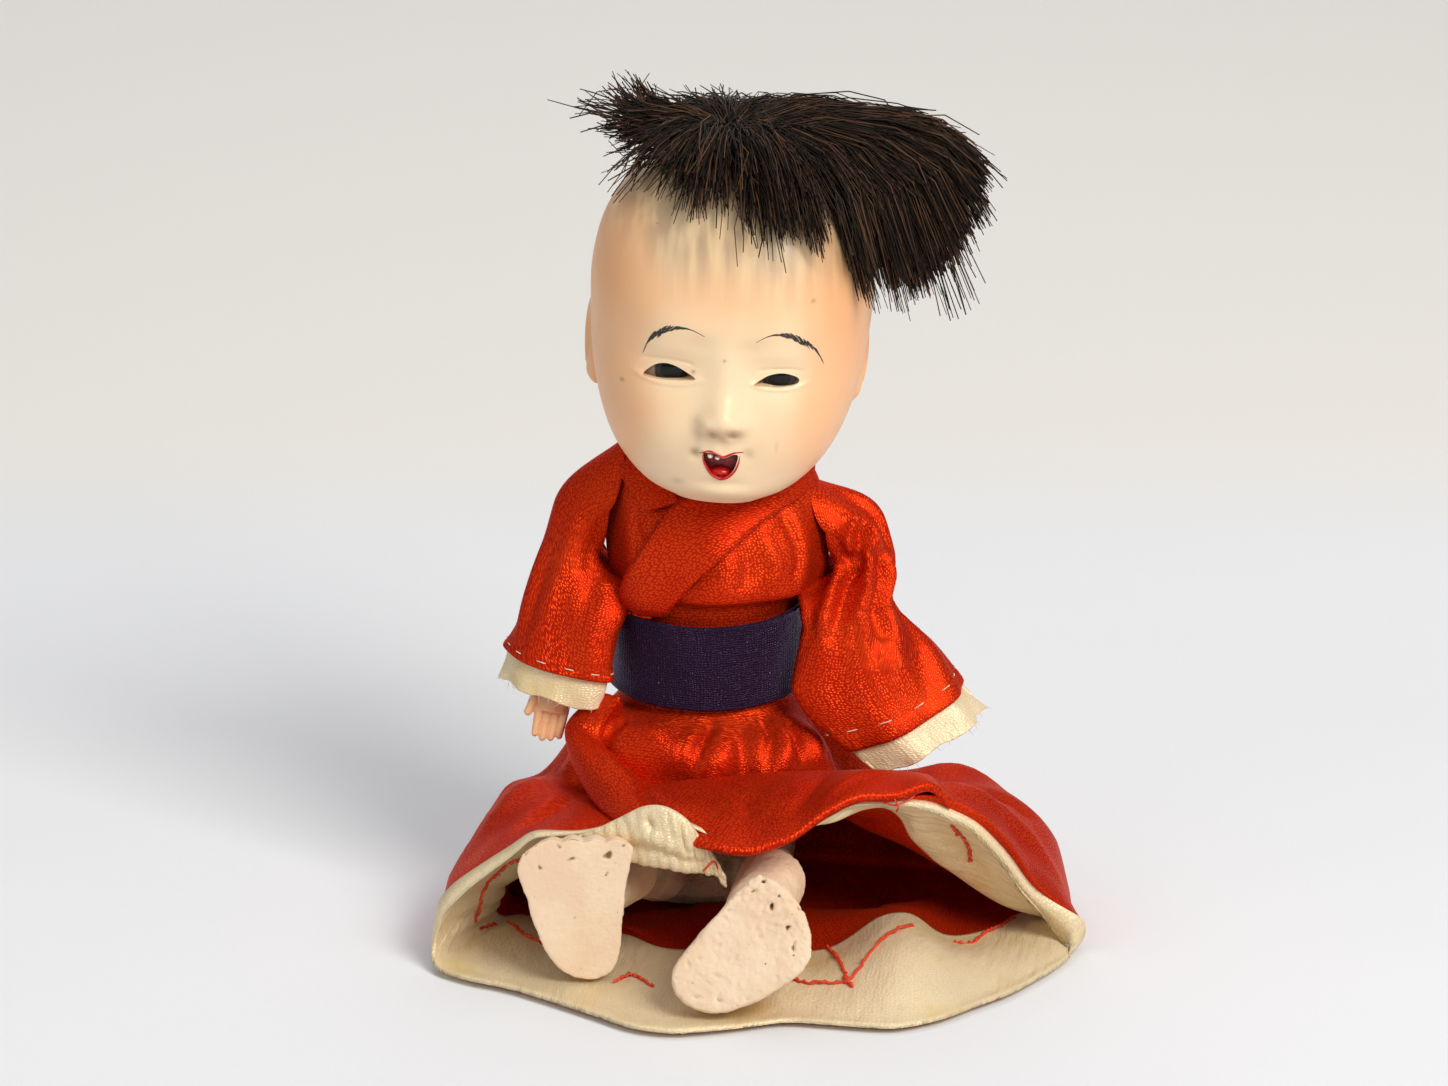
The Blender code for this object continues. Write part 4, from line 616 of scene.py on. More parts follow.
def finish_piece(name, maker, material):
    """Turns a bmesh in millimetres into a piece that rides on the doll's one body."""
    bmesh.ops.scale(maker, vec=(MM, MM, MM), verts=maker.verts)
    mesh = bpy.data.meshes.new(name)
    maker.to_mesh(mesh)
    maker.free()
    return dress_mesh(name, mesh, material)


def dress_mesh(name, mesh, material, extra_materials=()):
    """Makes a finished mesh into a piece of the doll."""
    mesh.materials.clear()
    for finish in (material, *extra_materials):
        mesh.materials.append(finish)
    mesh.shade_smooth()
    piece = bpy.data.objects.new(name, mesh)
    bpy.context.scene.collection.objects.link(piece)
    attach(piece, "root")
    return piece


def grid_maker(points, closed):
    """A bmesh grid laid over an array of points, with its cloth lengths as its UV map."""
    rows, columns = points.shape[0] - 1, points.shape[1] - 1
    across, along = cloth_lengths(points)
    maker = bmesh.new()
    uv = maker.loops.layers.uv.new("cloth")
    bmesh.ops.create_grid(maker, x_segments=columns, y_segments=rows, size=0.5)
    for face in maker.faces:
        for loop in face.loops:
            i = round((loop.vert.co.x + 0.5) * columns)
            j = round((loop.vert.co.y + 0.5) * rows)
            loop[uv].uv = (across[j, i], along[j, i])
    for vert in maker.verts:
        i = round((vert.co.x + 0.5) * columns)
        j = round((vert.co.y + 0.5) * rows)
        vert.co = points[j, i]
    if closed:
        bmesh.ops.remove_doubles(maker, verts=maker.verts, dist=0.001)
    return maker


def cloth_piece(name, points, material, closed=True, thick=SILK_THICK, face_out=True):
    """A woven piece with its wall laid to the inner side of the points."""
    maker = grid_maker(points, closed)
    if face_out:
        bmesh.ops.recalc_face_normals(maker, faces=maker.faces)
        if not faces_away(maker, points):
            bmesh.ops.reverse_faces(maker, faces=maker.faces)
    piece = finish_piece(name, maker, material)
    wall = piece.modifiers.new("cloth thickness", "SOLIDIFY")
    wall.thickness = thick * MM
    wall.offset = -1.0
    return piece


def faces_away(maker, points):
    """Whether an open loft's faces point away from its own middle line."""
    middle = points[:, :-1].mean(axis=1)
    heights = points[:, :-1].mean(axis=1)
    score = 0.0
    for face in list(maker.faces)[:: max(1, len(maker.faces) // 400)]:
        centre = np.array(face.calc_center_median())
        nearest = middle[np.argmin(np.linalg.norm(heights - centre, axis=1))]
        score += float(np.dot(np.array(face.normal), centre - nearest)) * face.calc_area()
    return score > 0.0


def write_attribute(mesh, name, values):
    """One number for each point of a mesh, for its material to read."""
    layer = mesh.attributes.new(name, "FLOAT", "POINT")
    layer.data.foreach_set("value", values.astype(np.float32))


def evaluated_mesh(piece):
    """A mesh of the object as its modifiers leave it."""
    bpy.context.view_layer.update()
    graph = bpy.context.evaluated_depsgraph_get()
    return bpy.data.meshes.new_from_object(piece.evaluated_get(graph))


def strand_piece(name, strands, material, seed):
    """Many fine tapered tubes as one mesh, each with its own shade. All have as many points."""
    curve = bpy.data.curves.new(name, "CURVE")
    curve.dimensions = "3D"
    curve.bevel_depth = MM
    curve.bevel_resolution = 0
    curve.use_fill_caps = True
    for points, radii in strands:
        spline = curve.splines.new("POLY")
        spline.points.add(len(points) - 1)
        row = np.concatenate([np.asarray(points) * MM, np.ones((len(points), 1))], axis=1)
        spline.points.foreach_set("co", row.ravel())
        spline.points.foreach_set("radius", np.asarray(radii, float))
    bevelled = bpy.data.objects.new(name, curve)
    bpy.context.scene.collection.objects.link(bevelled)
    mesh = evaluated_mesh(bevelled)
    bpy.data.objects.remove(bevelled)
    bpy.data.curves.remove(curve)
    mesh.name = name
    block = len(mesh.vertices) // len(strands)
    shade = np.repeat(np.random.default_rng(seed).random(len(strands)), block)
    shade = np.resize(shade, len(mesh.vertices))
    write_attribute(mesh, "shade", shade)
    return dress_mesh(name, mesh, material)


# Materials

COTTON_PITCH = 0.45
RIB_PITCH = 0.36
WEFT_PITCH = 0.28


def add_node(tree, kind, inputs=None, **settings):
    """A node with its settings made and its inputs set or linked."""
    made = tree.nodes.new(kind)
    for key, value in settings.items():
        setattr(made, key, value)
    for key, value in (inputs or {}).items():
        if isinstance(value, bpy.types.NodeSocket):
            tree.links.new(value, made.inputs[key])
        else:
            made.inputs[key].default_value = value
    return made


def start_material(name, **sockets):
    """A Principled material with constant values on its own sockets."""
    material = bpy.data.materials.new(name)
    material.use_nodes = True
    tree = material.node_tree
    shader = tree.nodes["Principled BSDF"]
    for key, value in sockets.items():
        shader.inputs[key.replace("_", " ")].default_value = value
    return material, tree, shader


def rgb(colour):
    """A colour with full opacity."""
    return (*colour, 1.0)


def math_node(tree, operation, a, b):
    """The result of one sum of two values or sockets."""
    return add_node(tree, "ShaderNodeMath", {0: a, 1: b}, operation=operation).outputs[0]


def times(tree, a, b):
    return math_node(tree, "MULTIPLY", a, b)


def plus(tree, a, b):
    return math_node(tree, "ADD", a, b)


def ramp(tree, value, low, high, out_low=0.0, out_high=1.0):
    """A value spread smoothly from low and high to new ends."""
    return add_node(
        tree, "ShaderNodeMapRange",
        {"Value": value, "From Min": low, "From Max": high, "To Min": out_low, "To Max": out_high},
        interpolation_type="SMOOTHSTEP",
    ).outputs[0]


def blend_colours(tree, share, first, second):
    """The first colour where the share is 0, the second where it is 1."""
    mixed = add_node(tree, "ShaderNodeMix", data_type="RGBA")
    for index, value in ((0, share), (6, first), (7, second)):
        if isinstance(value, bpy.types.NodeSocket):
            tree.links.new(value, mixed.inputs[index])
        else:
            mixed.inputs[index].default_value = value if index == 0 else rgb(value)
    return mixed.outputs[2]


def in_millimetres(tree, stretch=(1.0, 1.0, 1.0)):
    """Object coordinates in millimetres, stretched to taste."""
    coords = add_node(tree, "ShaderNodeTexCoord").outputs["Object"]
    scale = tuple(1000.0 * s for s in stretch)
    return add_node(tree, "ShaderNodeMapping", {"Vector": coords, "Scale": scale}).outputs[0]


def clouds(tree, place, scale, detail, rough=0.55):
    """Soft noise between 0 and 1."""
    return add_node(
        tree, "ShaderNodeTexNoise",
        {"Vector": place, "Scale": scale, "Detail": detail, "Roughness": rough},
    ).outputs["Fac"]


def attribute(tree, name):
    return add_node(tree, "ShaderNodeAttribute", attribute_name=name).outputs["Fac"]


def raise_bumps(tree, shader, height, depth, strength, under=None):
    """Relief of a depth in millimetres."""
    inputs = {"Height": height, "Distance": depth * MM, "Strength": strength}
    if under is not None:
        inputs["Normal"] = under
    bump = add_node(tree, "ShaderNodeBump", inputs)
    tree.links.new(bump.outputs[0], shader.inputs["Normal"])
    return bump.outputs[0]


def cell_distances(tree, vector, scale):
    """How far each spot is from the middle of its cell, for scattered dots."""
    cells = add_node(tree, "ShaderNodeTexVoronoi", {"Vector": vector, "Scale": scale})
    return cells.outputs["Distance"]


def silk_material(name, colour, deep, glint, pitch, weave_depth, tinted_gloss, stain=None,
                  crumple_depth=0.3):
    """Crepe satin: fine dots of floating thread that glitter in their dye's own colour, and are
    painted lighter than the deep colour between them as painted highlight and shade.
    """
    material, tree, shader = start_material(
        name, Roughness=0.38, Specular_IOR_Level=0.32, Specular_Tint=rgb(glint),
        Metallic=tinted_gloss, Sheen_Weight=0.03, Sheen_Roughness=0.4, Sheen_Tint=rgb(glint),
    )
    cloth = add_node(tree, "ShaderNodeUVMap", uv_map="cloth").outputs[0]
    threads = (1.0 / pitch[0], 1.0 / pitch[1], 1.0)
    cells = add_node(tree, "ShaderNodeMapping", {"Vector": cloth, "Scale": threads}).outputs[0]
    dots = add_node(
        tree, "ShaderNodeTexVoronoi", {"Vector": cells, "Scale": 1.0, "Randomness": 0.65},
        voronoi_dimensions="2D",
    ).outputs["Distance"]
    dots = ramp(tree, dots, 0.05, 0.5, 1.0, 0.0)
    fuzz = clouds(tree, cloth, 5.0, 2.0)
    height = plus(tree, times(tree, dots, 0.75), times(tree, fuzz, 0.4))
    patches = clouds(tree, in_millimetres(tree), 0.12, 4.0)
    # The raised dots are painted lighter and the gaps between them deeper: painted highlight and
    # painted shade. The broad patches vary the tone at random.
    tone = plus(tree, times(tree, patches, 0.55), times(tree, dots, 0.45))
    tone = ramp(tree, tone, 0.2, 0.75)
    dyed = blend_colours(tree, tone, deep, colour)
    if stain:
        marks = ramp(tree, clouds(tree, in_millimetres(tree), 0.09, 5.0, 0.65), 0.5, 0.72)
        dyed = blend_colours(tree, times(tree, marks, 0.7), dyed, stain)
    tree.links.new(dyed, shader.inputs["Base Color"])
    tree.links.new(ramp(tree, height, 0.15, 1.0, 0.46, 0.26), shader.inputs["Roughness"])
    drawn_out = {"Vector": cloth, "Scale": (0.5, 0.2, 1.0)}
    drawn = add_node(tree, "ShaderNodeMapping", drawn_out).outputs[0]
    crumple = raise_bumps(tree, shader, clouds(tree, drawn, 1.0, 2.0, 0.45), 0.5, crumple_depth)
    raise_bumps(tree, shader, height, weave_depth, 0.6, crumple)
    return material


def skin_material(colours):
    """Polished gofun over paste: cream face, peach to orange sides that are partly painted shade,
    brushed ink under the hair, and painted shade darkening the face's hollows.
    """
    material, tree, shader = start_material(
        "painted_gofun_skin", Roughness=0.42, Specular_IOR_Level=0.42, Subsurface_Weight=0.12,
        Subsurface_Scale=0.8 * MM, Coat_Weight=0.12, Coat_Roughness=0.3,
    )
    cream, peach, orange, ink = colours
    place = in_millimetres(tree)
    # The peach and orange that the warm attribute brings in towards the sides and back are painted
    # shade.
    warm = attribute(tree, "warm")
    drift = clouds(tree, place, 0.11, 3.0)
    warm = plus(tree, warm, times(tree, math_node(tree, "SUBTRACT", drift, 0.5), 0.25))
    tint = blend_colours(tree, ramp(tree, warm, 0.0, 0.55), cream, peach)
    tint = blend_colours(tree, ramp(tree, warm, 0.5, 1.1), tint, orange)
    upright = in_millimetres(tree, (1.0, 0.5, 0.05))
    streaks = ramp(tree, clouds(tree, upright, 0.48, 2.0, 0.5), 0.34, 0.66)
    zone = attribute(tree, "wash")
    bare = times(tree, math_node(tree, "SUBTRACT", 1.0, streaks), 0.55)
    tint = blend_colours(tree, times(tree, zone, bare), tint, (0.88, 0.63, 0.33))
    inked = plus(tree, times(tree, streaks, 0.5), times(tree, zone, 0.22))
    tint = blend_colours(tree, times(tree, zone, inked), tint, ink)
    # Painted shade in the face's hollows, with specks of dirt, darkens the tint towards brown.
    grime = times(tree, attribute(tree, "grime"), 0.7)
    tint = blend_colours(tree, grime, tint, (0.23, 0.14, 0.075))
    specks = cell_distances(tree, place, 0.32)
    rare = ramp(tree, clouds(tree, place, 0.2, 1.0), 0.6, 0.64)
    dot = times(tree, ramp(tree, specks, 0.022, 0.04, 1.0, 0.0), rare)
    tint = blend_colours(tree, dot, tint, (0.16, 0.08, 0.045))
    tree.links.new(tint, shader.inputs["Base Color"])
    polish = clouds(tree, place, 0.5, 4.0)
    tree.links.new(ramp(tree, polish, 0.3, 0.7, 0.36, 0.5), shader.inputs["Roughness"])
    brushed = plus(tree, times(tree, polish, 0.6), times(tree, clouds(tree, place, 3.0, 3.0), 0.4))
    raise_bumps(tree, shader, brushed, 0.09, 0.35)
    return material


def foot_material(colours):
    """Unpolished gofun: chalky, cracked and pitted, with paste showing in the pits."""
    material, tree, shader = start_material(
        "chalky_gofun", Roughness=0.8, Specular_IOR_Level=0.25, Subsurface_Weight=0.06,
        Subsurface_Scale=0.6 * MM,
    )
    chalk, rosy, paste = colours
    place = in_millimetres(tree)
    tint = blend_colours(tree, ramp(tree, clouds(tree, place, 0.16, 4.0), 0.35, 0.65), chalk, rosy)
    worn = attribute(tree, "worn")
    tint = blend_colours(tree, ramp(tree, worn, 0.3, 1.0), tint, paste)
    pores = cell_distances(tree, place, 0.75)
    some = ramp(tree, clouds(tree, place, 0.5, 2.0), 0.52, 0.6)
    dot = times(tree, ramp(tree, pores, 0.05, 0.11, 1.0, 0.0), some)
    tint = blend_colours(tree, times(tree, dot, 0.85), tint, (0.13, 0.055, 0.03))
    tree.links.new(tint, shader.inputs["Base Color"])
    grain = plus(tree, times(tree, clouds(tree, place, 1.3, 5.0, 0.65), 0.7),
                 times(tree, dot, -0.8))
    raise_bumps(tree, shader, grain, 0.35, 0.6)
    return material


def eye_material(side, centre, colours):
    """Painted glass: black pupil, dark brown ring, and grey white in the corners."""
    material, tree, shader = start_material(
        f"eye_glass_{side}", Roughness=0.1, Specular_IOR_Level=0.28,
    )
    pupil, iris, white = colours
    coords = add_node(tree, "ShaderNodeTexCoord").outputs["Object"]
    moved = add_node(
        tree, "ShaderNodeMapping",
        {"Vector": coords, "Location": tuple(-1000.0 * c * MM for c in centre),
         "Scale": (1000.0, 1000.0, 1000.0)},
    ).outputs[0]
    flat = add_node(tree, "ShaderNodeVectorMath", {0: moved, 1: (1.0, 0.0, 1.0)},
                    operation="MULTIPLY").outputs[0]
    far = add_node(tree, "ShaderNodeVectorMath", {0: flat}, operation="LENGTH").outputs["Value"]
    wobble = times(tree, clouds(tree, moved, 1.6, 3.0), 0.35)
    far = plus(tree, far, wobble)
    tint = blend_colours(tree, ramp(tree, far, 1.35, 1.6), pupil, iris)
    tint = blend_colours(tree, ramp(tree, far, 2.0, 2.35), tint, white)
    tree.links.new(tint, shader.inputs["Base Color"])
    return material


def lacquer_material(name, colour, dark, roughness):
    """Glossy brushed paint with a little unevenness."""
    material, tree, shader = start_material(
        name, Roughness=roughness, Specular_IOR_Level=0.5, Coat_Weight=0.2, Coat_Roughness=0.15
    )
    place = in_millimetres(tree)
    tint = blend_colours(tree, ramp(tree, clouds(tree, place, 1.4, 3.0), 0.35, 0.65), dark, colour)
    tree.links.new(tint, shader.inputs["Base Color"])
    raise_bumps(tree, shader, clouds(tree, place, 4.0, 3.0), 0.05, 0.4)
    return material


def hair_material(dark, brown):
    """Coarse fibre, near black, with browner strands among it."""
    material, tree, shader = start_material(
        "coarse_black_fibre", Roughness=0.45, Specular_IOR_Level=0.22,
        Specular_Tint=(1.0, 0.78, 0.62, 1.0),
    )
    mixed = times(tree, attribute(tree, "shade"), attribute(tree, "shade"))
    along = clouds(tree, in_millimetres(tree), 0.35, 2.0)
    share = plus(tree, mixed, times(tree, math_node(tree, "SUBTRACT", along, 0.5), 0.5))
    tint = blend_colours(tree, ramp(tree, share, 0.15, 1.0), dark, brown)
    tree.links.new(tint, shader.inputs["Base Color"])
    raise_bumps(tree, shader, clouds(tree, in_millimetres(tree), 6.0, 2.0), 0.03, 0.4)
    return material


def ribbon_material(colour, glint, speck):
    """Ribbed ribbon: fine upright ribs crossed by weft, with pale specks painted in as glints."""
    material, tree, shader = start_material(
        "ribbed_purple_ribbon", Roughness=0.34, Specular_IOR_Level=0.4, Specular_Tint=rgb(glint),
        Metallic=0.4, Sheen_Weight=0.06, Sheen_Tint=rgb(glint),
    )
    cloth = add_node(tree, "ShaderNodeUVMap", uv_map="cloth").outputs[0]
    split = add_node(tree, "ShaderNodeSeparateXYZ", {0: cloth})
    jitter = times(tree, clouds(tree, cloth, 0.9, 3.0), 0.7)
    ribs, weft = (
        math_node(tree, "SINE", times(tree, plus(tree, place, jitter), TAU / pitch), 0.0)
        for place, pitch in ((split.outputs[0], RIB_PITCH), (split.outputs[1], WEFT_PITCH))
    )
    height = plus(tree, times(tree, ribs, 0.3), times(tree, weft, 0.3))
    height = plus(tree, height, clouds(tree, cloth, 3.0, 3.0))
    shadow = tuple(c * 0.3 for c in colour)
    tint = blend_colours(tree, ramp(tree, height, 0.0, 1.2), shadow, colour)
    # Pale specks painted in as glints of the ribbon's sparkle.
    painted_glints = ramp(tree, clouds(tree, cloth, 2.6, 2.0, 0.7), 0.70, 0.74)
    tint = blend_colours(tree, times(tree, painted_glints, 0.8), tint, speck)
    tree.links.new(tint, shader.inputs["Base Color"])
    raise_bumps(tree, shader, height, 0.12, 0.8)
    return material


def plain_weave_material(name, colour, dark):
    """Undyed cotton or aged paste under the clothes."""
    material, tree, shader = start_material(name, Roughness=0.85, Specular_IOR_Level=0.2)
    place = in_millimetres(tree)
    split = add_node(tree, "ShaderNodeSeparateXYZ", {0: place})
    one = math_node(tree, "SINE", times(tree, plus(tree, split.outputs[0], split.outputs[1]),
                                  TAU / COTTON_PITCH), 0.0)
    two = math_node(tree, "SINE", times(tree, split.outputs[2], TAU / COTTON_PITCH), 0.0)
    weave = times(tree, one, two)
    spots = clouds(tree, place, 0.3, 4.0)
    tint = blend_colours(tree, ramp(tree, spots, 0.3, 0.7), dark, colour)
    tree.links.new(tint, shader.inputs["Base Color"])
    raise_bumps(tree, shader, plus(tree, weave, spots), 0.08, 0.6)
    return material


# Head


def head_shape(table, angles):
    """Points of the head's surface for rows of the table and angles from the face round."""
    z, half_width, front, back = (table[:, c][:, None] for c in range(4))
    power = 2.0 / HEAD_SECTION_POWER
    sine, cosine = np.sin(angles)[None, :], np.cos(angles)[None, :]
    x = half_width * np.sign(sine) * np.abs(sine) ** power
    reach = np.sign(cosine) * np.abs(cosine) ** power
    middle = 0.5 * (front + back)
    y = middle - reach * (middle - front)
    z = np.broadcast_to(z, x.shape)
    y = y - face_push(x, z) * smooth_step(0.0, 0.55, np.broadcast_to(cosine, x.shape))
    return np.stack([x, y, z], axis=2)


def face_push(x, z):
    """How far the face stands forward of the plain skull."""
    push = np.zeros(np.shape(x))
    for across, height, spread_x, spread_z, forward in FACE_RELIEF:
        push = push + forward * bell(x, across, spread_x) * bell(z, height, spread_z)
    for outline in EYE_OUTLINES.values():
        points = np.array(outline)
        middle = points.mean(axis=0)
        half = (np.ptp(points[:, 0]) * 0.5, np.ptp(points[:, 1]) * 0.5)
        far = np.hypot((x - middle[0]) / half[0], (z - middle[1]) / half[1])
        below = smooth_step(0.3, -0.6, (z - middle[1]) / half[1])
        push = push + 0.2 * bell(far, 1.22, 0.16) * below
        above = smooth_step(0.2, 1.0, (z - middle[1]) / half[1])
        beside = smooth_step(1.1, 0.8, np.abs(x - middle[0]) / half[0])
        push = push - 0.16 * bell(far, 1.75, 0.16) * above * beside
    return push


def head_grid():
    """The whole head as a grid of points, closed at the chin and the crown."""
    spins = np.linspace(0.0, TAU, HEAD_COLUMNS + 1)
    angles = spins - HEAD_FRONT_CROWDING * np.sin(spins)
    places = [k + i / steps for k, steps in enumerate(HEAD_ROW_STEPS) for i in range(steps)]
    places.append(float(len(HEAD_ROW_STEPS)))
    points = head_shape(read_open(HEAD_ROWS, places), angles)
    caps = []
    for ring, tip in ((points[0], CHIN_TIP), (points[-1], CROWN_TIP)):
        rows = []
        for i in range(1, CAP_STEPS + 1):
            share = 1.0 - i / CAP_STEPS
            row = tip + (ring - tip) * share
            row[:, 2] = tip[2] + (ring[:, 2] - tip[2]) * share * share
            rows.append(row)
        caps.append(np.array(rows))
    return np.concatenate([caps[0][::-1], points, caps[1]])


def prism(outline, front, back):
    """A closed outline of the face carried straight back, in the head frame."""
    ring = read_closed(outline, np.linspace(0.0, len(outline), CUTTER_POINTS, endpoint=False))
    maker = bmesh.new()
    verts = [maker.verts.new((x, front, z)) for x, z in ring]
    face = maker.faces.new(verts)
    pushed = bmesh.ops.extrude_face_region(maker, geom=[face])["geom"]
    moved = [v for v in pushed if isinstance(v, bmesh.types.BMVert)]
    bmesh.ops.translate(maker, verts=moved, vec=(0.0, back - front, 0.0))
    bmesh.ops.recalc_face_normals(maker, faces=maker.faces)
    return maker


def face_front(tree, x, z):
    """Where the face is at a place on it, in the head frame."""
    hit = tree.ray_cast(Vector((x, -60.0, z)), Vector((0.0, 1.0, 0.0)))
    return hit[0].y if hit[0] else -15.0


def to_mesh_object(name, maker, materials):
    """A helper object in metres, in the doll frame."""
    bmesh.ops.transform(maker, matrix=Matrix.Scale(MM, 4) @ HEAD_MATRIX, verts=maker.verts)
    mesh = bpy.data.meshes.new(name)
    maker.to_mesh(mesh)
    maker.free()
    for material in materials:
        mesh.materials.append(material)
    helper = bpy.data.objects.new(name, mesh)
    bpy.context.scene.collection.objects.link(helper)
    return helper


def paint_head(mesh):
    """Where the gofun is warm (deepest towards the sides and back, as painted shade), brushed with
    ink, or darkened by painted shade in the face's hollows and by specks of dirt.
    """
    count = len(mesh.vertices)
    flat = np.zeros(count * 3, np.float32)
    mesh.vertices.foreach_get("co", flat)
    points = flat.reshape(-1, 3).astype(float) / MM
    inverse = np.array(HEAD_MATRIX.inverted())
    own = points @ inverse[:3, :3].T + inverse[:3, 3]
    x, y, z = own.T
    # The warm tint deepens towards the sides and the back of the head: painted shade where the
    # surface turns from the light. It is paler on the crown and at the chin, and brow, cheeks and
    # the doll's left temple get more of it.
    side = smooth_step(6.5, 15.5, np.abs(x - 0.5))
    front = smooth_step(4.0, -8.0, y)
    temple = bell(z, 4.0, 6.5) * smooth_step(8.0, 15.0, x)
    brow = bell(z, 5.5, 3.2) * front
    cheek = bell(np.abs(x - 0.6), 9.5, 3.4) * bell(z, -9.5, 3.6) * front
    warm = 0.08 + 0.62 * side + 0.4 * temple + 0.3 * brow + 0.22 * cheek + 0.5 * (1.0 - front)
    warm *= 1.0 - 0.5 * smooth_step(11.0, 18.0, z)
    warm -= 0.2 * smooth_step(-14.5, -19.0, z)
    low = 3.0 + 5.0 * smooth_step(-6.0, -13.0, x) + 2.0 * smooth_step(2.0, 14.0, y)
    wash = smooth_step(low, low + 9.0, z)
    # Painted shade in the face's hollows and creases, and specks of dirt, from the table above.
    grime = np.zeros(count)
    for across, height, spread_x, spread_z, much in SHADE_AND_GRIME_MARKS:
        grime += much * bell(x, across, spread_x) * bell(z, height, spread_z) * front
    for name, values in (("warm", warm), ("wash", wash), ("grime", grime)):
        write_attribute(mesh, name, np.clip(values, 0.0, 1.5))


def shade_evenly(piece, **shades):
    """Gives all of a piece the same value of each shade that the skin's material reads."""
    for name, value in shades.items():
        write_attribute(piece.data, name, np.full(len(piece.data.vertices), value))


def build_head_pieces(settings, paints):
    """The head with its sockets, mouth and hair hole cut, and what is set into them."""
    grid = grid_maker(head_grid(), closed=True)
    bmesh.ops.recalc_face_normals(grid, faces=grid.faces)
    tree = BVHTree.FromBMesh(grid)
    skull = to_mesh_object("painted_head", grid, [paints["skin"], paints["mouth"]])
    cutters = []
    for side, outline in EYE_OUTLINES.items():
        centre = PUPIL_PLACES[side]
        surface = face_front(tree, *centre)
        socket = prism(outline, surface - 3.0, surface + SOCKET_DEPTH)
        cutters.append(to_mesh_object(f"socket_{side}", socket, [paints["skin"]]))
    lips = face_front(tree, 0.5, -14.4)
    cutters.append(to_mesh_object(
        "mouth_hollow", prism(MOUTH_OUTLINE, lips - 3.0, lips + 2.6), [paints["mouth"]]
    ))
    hole = bmesh.new()
    bmesh.ops.create_cone(hole, cap_ends=True, segments=40, radius1=2.4, radius2=2.4, depth=8.0)
    bmesh.ops.translate(hole, verts=hole.verts, vec=(0.0, CROWN_TIP[1], CROWN_TIP[2] + 0.5))
    cutters.append(to_mesh_object("hair_hole", hole, [paints["skin"]]))
    for cutter in cutters:
        cut = skull.modifiers.new("cut", "BOOLEAN")
        cut.operation = "DIFFERENCE"
        cut.object = cutter
        cut.solver = "EXACT"
        cut.material_mode = "TRANSFER"
    mesh = evaluated_mesh(skull)
    for helper in (skull, *cutters):
        bpy.data.objects.remove(helper)
    mesh.name = "painted_head"
    paint_head(mesh)
    finishes = np.zeros(len(mesh.polygons), np.int32)
    mesh.polygons.foreach_get("material_index", finishes)
    head = dress_mesh("painted_head", mesh, paints["skin"], (paints["mouth"],))
    mesh.polygons.foreach_set("material_index", np.minimum(finishes, 1))
    mesh.set_sharp_from_angle(angle=math.radians(48.0))
    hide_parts("head")
    build_eyes(tree, settings)
    build_mouth(tree, paints)
    build_brows(tree, paints)
    build_ears(paints)
    build_neck(paints)
    return tree


def build_eyes(tree, settings):
    """Glass eyeballs behind the cut lids."""
    for side, (across, height) in PUPIL_PLACES.items():
        front = face_front(tree, across, height) + EYE_SINK
        centre = HEAD_MATRIX @ Vector((across, front + EYE_RADIUS, height))
        ball = bmesh.new()
        bmesh.ops.create_uvsphere(ball, u_segments=64, v_segments=40, radius=EYE_RADIUS)
        bmesh.ops.translate(ball, verts=ball.verts, vec=centre)
        glass = eye_material(
            side, centre, (settings.pupil_colour, settings.iris_colour, settings.eye_white_colour)
        )
        piece = finish_piece(f"glass_eye_{side}", ball, glass)
        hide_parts(f"eye_{side}")


def lip_line(tree, outline, steps, lift):
    """A line over the face through the outline's points, in the doll frame."""
    flat = read_open(outline, np.linspace(0.0, len(outline) - 1.0, steps))
    return np.array([
        HEAD_MATRIX @ Vector((x, face_front(tree, x, z) - lift, z)) for x, z in flat
    ])


def build_mouth(tree, paints):
    """Painted lips, two small teeth and the tongue."""
    steps = 40
    swell = np.sin(np.linspace(0.0, math.pi, steps))
    upper = 0.05 + 0.17 * swell ** 0.7
    lower = 0.07 + 0.2 * swell ** 0.7
    lips = strand_piece(
        "painted_lips",
        [(lip_line(tree, UPPER_LIP, steps, -0.03), upper),
         (lip_line(tree, LOWER_LIP, steps, -0.03), lower)],
        paints["lips"], 3,
    )
    soften = lips.modifiers.new("brushed round", "SUBSURF")
    soften.levels = soften.render_levels = 2
    maker = bmesh.new()
    for across, height, half_width, drop in TEETH:
        before = set(maker.verts)
        bmesh.ops.create_uvsphere(maker, u_segments=20, v_segments=14, radius=1.0)
        new = [v for v in maker.verts if v not in before]
        surface = face_front(tree, across, -12.4)
        size = Matrix.Diagonal((half_width, 0.45, drop, 1.0))
        shift = Matrix.Translation((across, surface + 0.75, height - 0.15))
        bmesh.ops.transform(maker, matrix=HEAD_MATRIX @ shift @ size, verts=new)
    finish_piece("small_teeth", maker, paints["teeth"])
    tongue = bmesh.new()
    bmesh.ops.create_uvsphere(tongue, u_segments=28, v_segments=18, radius=1.0)
    surface = face_front(tree, 0.5, -15.6)
    size = Matrix.Diagonal((1.3, 0.8, 0.6, 1.0))
    bmesh.ops.transform(
        tongue, matrix=HEAD_MATRIX @ Matrix.Translation((0.5, surface + 1.5, -15.7)) @ size,
        verts=tongue.verts,
    )
    finish_piece("tongue", tongue, paints["lips"])


